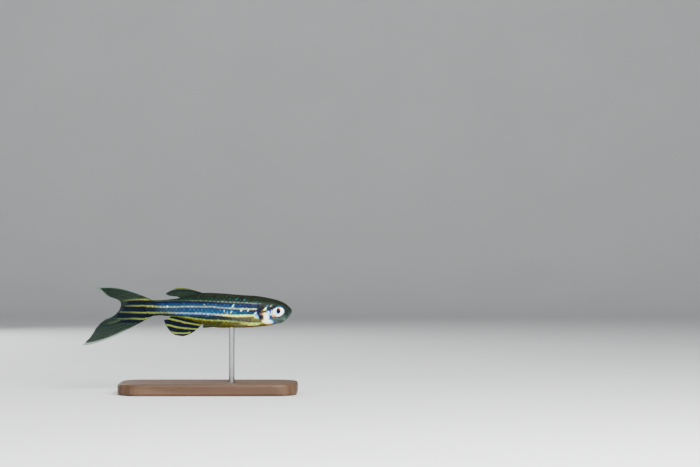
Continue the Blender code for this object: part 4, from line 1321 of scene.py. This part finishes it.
def median_fins():
    """The fins on the fish's middle line."""
    top, bottom, _ = body_outline(STANDARD_LENGTH)
    root_s = STANDARD_LENGTH + GAP - 0.4
    fork_z = bottom + (top - bottom) * 0.56
    above, below = fork_z + 0.02, fork_z - 0.02
    fork_s, fork_rise = 44.35, 0.4
    upper = (
        side_curve([(root_s, top - 0.05), (root_s, above)], lambda u: 0.0),
        side_curve([(41.6, 5.2), (40.4, 3.3), (39.6, above + 0.15)], lambda u: 0.1),
        side_curve([(44.6, 6.9), (43.4, 4.6), (42.0, above + 0.3)], lambda u: 0.7 * (1 - u)),
        side_curve(
            [(51.3, 6.1), (48.8, 4.25), (47.0, 3.6), (45.4, 3.1), (44.5, 2.4), (fork_s, above + fork_rise)],
            lambda u: 3.6 * (1 - u) ** 1.3,
        ),
    )
    lower = (
        side_curve([(root_s, below), (root_s, bottom + 0.05)], lambda u: 0.0),
        side_curve([(38.9, below + 0.1), (39.4, -0.6), (40.8, -3.5)], lambda u: -0.1 * u),
        side_curve([(41.6, below + 0.3), (44.6, -1.8), (48.0, -8.35)], lambda u: -0.6 * u),
        side_curve(
            [
                (fork_s, below + fork_rise),
                (44.95, 0.2),
                (46.6, -1.3),
                (48.7, -2.25),
                (50.7, -4.1),
                (51.95, -6.1),
                (54.4, -8.80),
            ],
            lambda u: -2.6 * u**1.5,
        ),
    )
    dorsal = (
        root_along(*DORSAL_ROOT),
        side_curve([(25.3, 5.7), (27.4, 4.8), (29.2, 3.95)], lambda u: 0.1),
        side_curve([(30.4, 7.5), (30.1, 5.5), (29.8, 4.0)], lambda u: 0.3),
        side_curve([(32.8, 4.5), (31.7, 4.1), (30.5, 3.98)], lambda u: 0.9 - 0.5 * u),
    )
    anal = (
        root_along(*ANAL_ROOT, below=True),
        side_curve([(24.6, -4.85), (28.0, -3.2), (31.6, -1.75)], lambda u: -0.1),
        side_curve([(26.2, -6.0), (29.8, -4.6), (32.4, -1.95)], lambda u: -0.25),
        side_curve(
            [(28.2, -6.3), (30.0, -6.05), (31.3, -5.2), (32.3, -3.9), (33.1, -2.2)],
            lambda u: 0.4 * u - 0.8,
        ),
    )
    return (
        Fin("caudal_upper", upper, CAUDAL_RAYS_UPPER, partial(caudal_paint, True), 14, nick=0.006),
        Fin("caudal_lower", lower, CAUDAL_RAYS_LOWER, partial(caudal_paint, False), 16, nick=0.006),
        Fin("dorsal", dorsal, DORSAL_RAYS, dorsal_paint, 10),
        Fin("anal", anal, ANAL_RAYS, anal_paint, 7),
    )


def paired_curves(side, base, opening, fan, lengths):
    """Curves of a fin whose rays leave the body's surface by opening and fan down, in degrees."""
    (s_first, angle_first), (s_last, angle_last) = base

    def along(out, share=0.0, bend=0.0):
        """Curve out from the skin, at a share of the rays' length and with the opening times bend."""
        opened = math.radians(opening) * bend

        def read(u):
            s = s_first + (s_last - s_first) * u
            angle = angle_first + (angle_last - angle_first) * u
            normal = body_normal(s, angle)
            back = np.array((1.0, 0, 0)) - normal * normal[..., :1]
            back /= np.linalg.norm(back, axis=-1, keepdims=True)
            turn = (math.radians(fan) * u)[..., None]
            flat = back * np.cos(turn) + np.cross(back, normal) * np.sin(turn)
            way = flat * math.cos(opened) + normal * math.sin(opened)
            length = smooth_curve([0, 0.3, 1], lengths, u)[..., None]
            return (body_point(s, angle) + normal * out + way * length * share) * (1.0, side, 1.0)

        return read

    bends = ((0.33, 1.3), (0.67, 1.2), (1.0, 1.0))
    return along(-ROOT_SUNK), *(along(ROOT_OUT, share, bend) for share, bend in bends)


def paired_fins():
    """Pectoral fins behind the gill covers and pelvic fins under the belly."""
    made = []
    for side, tag in ((1, "right"), (-1, "left")):
        curves = paired_curves(side, PECTORAL_BASE, 22, 16, (7.6, 6.6, 3.2))
        made.append(Fin(f"pectoral_{tag}", curves, PECTORAL_RAYS, pectoral_paint, 7.5, 0.035, "clear_fin"))
        curves = paired_curves(side, PELVIC_BASE, 4, 4, (5.0, 5.4, 4.8))
        made.append(Fin(f"pelvic_{tag}", curves, PELVIC_RAYS, pelvic_paint, 6, 0.045))
    return made


def make_fins():
    webs = membrane_material("fin_web")
    rays = membrane_material("fin_rays")
    for fin in (*median_fins(), *paired_fins()):
        make_fin(fin, webs, rays)


# Barbels


def make_barbels():
    """Thin feelers by the nostrils and at the mouth's corners."""
    shares = np.linspace(0, 1, BARBEL_STEPS)
    paths = []
    for side in (1, -1):
        for s, angle, length, droop in BARBELS:
            out = body_normal(np.array(s), np.array(angle * side))
            path = [body_point(s, angle * side) - out * 0.2]
            for share in shares[1:]:
                lie = out * 1.5 * (1 - share) ** 2 + np.array((0.35 + 0.8 * share, 0, -droop))
                path.append(path[-1] + lie / np.linalg.norm(lie) * length / (BARBEL_STEPS - 1))
            paths.append(path)
    radii = np.tile(0.085 * (1 - 0.75 * shares**1.3), (len(paths), 1))
    finish = skin_material("barbel_skin", 0.2, 0.5)
    barbels = tubes("barbels", np.array(paths), radii, 10, finish)
    add_paint(barbels, rgb(0.026, 0.032, 0.022), 0.1)


# Stand


def wood_material():
    nodes = Nodes("walnut")
    at = nodes.coordinates()
    long_grain = nodes.stretched(at, (0.012, 0.13, 0.13))
    warp = nodes.noise(nodes.stretched(at, (0.03, 0.12, 0.12)), 1.6, 2.0)
    given = {"Vector": long_grain, "Scale": 1.1, "Distortion": 9.0, "Detail": 3.0, "Detail Scale": 0.8}
    rings = nodes.add("ShaderNodeTexWave", given, "Fac", wave_type="BANDS", bands_direction="Y")
    pores = nodes.noise(nodes.stretched(at, (0.25, 5.0, 5.0)), 1.3, 3.0, 0.7)
    dark, light = (0.058, 0.030, 0.016, 1), (0.088, 0.048, 0.026, 1)
    colour = nodes.blend(nodes.span(rings, 0.2, 0.85), dark, light)
    colour = nodes.blend(nodes.span(warp, 0.35, 0.7, 0.0, 0.6), colour, (0.074, 0.039, 0.021, 1))
    colour = nodes.blend(nodes.span(pores, 0.52, 0.70, 0.0, 0.6), colour, (0.03, 0.014, 0.008, 1))
    return nodes.finish(
        Base_Color=colour,
        Roughness=nodes.span(pores, 0.3, 0.7, 0.5, 0.66),
        Normal=nodes.bump(pores, 0.00004, 0.35),
        Specular_IOR_Level=0.2,
        Coat_Weight=0.05,
        Coat_Roughness=0.4,
    )


def steel_material():
    nodes = Nodes("brushed_rod")
    at = nodes.coordinates()
    lines = nodes.noise(nodes.stretched(at, (9.0, 9.0, 0.25)), 2.0, 3.0, 0.6)
    colour = nodes.blend(lines, (0.26, 0.26, 0.26, 1), (0.42, 0.42, 0.41, 1))
    return nodes.finish(
        Base_Color=colour,
        Metallic=1.0,
        Roughness=nodes.span(lines, 0.3, 0.7, 0.22, 0.36),
        Normal=nodes.bump(lines, 0.000008, 0.4),
    )


def dress_stand():
    nodes = frame["nodes"]
    for name, finish in (("stand_base", wood_material()), ("stand_rod", steel_material())):
        held = nodes[name]
        held.data.materials.clear()
        held.data.materials.append(finish)


# Stage, lights and camera


def make_stage():
    """A pale floor that curves up behind into a backdrop."""
    depth, bend, height, half = 0.55, 0.25, 0.9, 1.2
    profile = [(-0.8, 0.0), (depth, 0.0)]
    for k in range(1, 25):
        turn = math.pi / 2 * k / 24
        profile.append((depth + bend * math.sin(turn), bend * (1 - math.cos(turn))))
    profile.append((depth + bend, height))
    points = [(x, y, z) for x in (-half, half) for y, z in profile]
    count = len(profile)
    faces = [(k, k + count, k + count + 1, k + 1) for k in range(count - 1)]
    mesh = bpy.data.meshes.new("backdrop")
    mesh.from_pydata(points, [], faces)
    mesh.shade_smooth()
    nodes = Nodes("pale_floor")
    soft = nodes.noise(nodes.coordinates(), 0.02, 2.0)
    colour = nodes.blend(soft, (0.60, 0.61, 0.61, 1), (0.66, 0.67, 0.67, 1))
    mesh.materials.append(nodes.finish(Base_Color=colour, Roughness=0.75))
    placed("backdrop", mesh)


def area_light(name, place, aim, size, watts, colour=(1, 1, 1)):
    light = bpy.data.lights.new(name, "AREA")
    light.shape = "RECTANGLE"
    light.size, light.size_y = size
    light.energy = watts
    light.color = colour
    made = placed(name, light)
    made.location = place
    made.rotation_euler = (Vector(aim) - Vector(place)).to_track_quat("-Z", "Y").to_euler()


def make_lights():
    aim = (FISH_X * 0.001 - 0.02, 0, FISH_Z * 0.001)
    area_light("key", (0.15, -0.30, 0.21), aim, (0.26, 0.20), 5.2)
    area_light("top", (-0.03, 0.03, 0.42), aim, (0.30, 0.20), 0.7)
    area_light("fill", (-0.32, -0.34, 0.06), aim, (0.30, 0.25), 1.0)
    area_light("rim", (-0.20, 0.30, 0.16), aim, (0.24, 0.22), 1.1)
    world = bpy.data.worlds.new("soft_room")
    world.use_nodes = True
    background = world.node_tree.nodes["Background"]
    background.inputs["Color"].default_value = (0.80, 0.85, 0.90, 1)
    background.inputs["Strength"].default_value = 0.22
    bpy.context.scene.world = world


def make_camera():
    """Looks level along +Y, so that the fish falls where the photograph has it."""
    pixel = STANDARD_LENGTH / LENGTH_PIXELS
    camera = bpy.data.cameras.new("camera")
    camera.lens, camera.sensor_width = LENS_MM, SENSOR_MM
    camera.clip_start = 0.005
    made = placed("camera", camera)
    right = (FRAME_PIXELS[0] / 2 - SNOUT_PIXEL[0]) * pixel
    up = (SNOUT_PIXEL[1] - FRAME_PIXELS[1] / 2) * pixel
    distance = FRAME_PIXELS[0] * LENS_MM / SENSOR_MM * pixel
    made.location = ((FISH_X + right) * 0.001, -distance * 0.001, (FISH_Z + up) * 0.001)
    made.rotation_euler = (math.pi / 2, 0, 0)
    bpy.context.scene.camera = made


make_skin()
make_scales()
make_eyes()
make_fins()
make_barbels()
dress_stand()
make_stage()
make_lights()
make_camera()
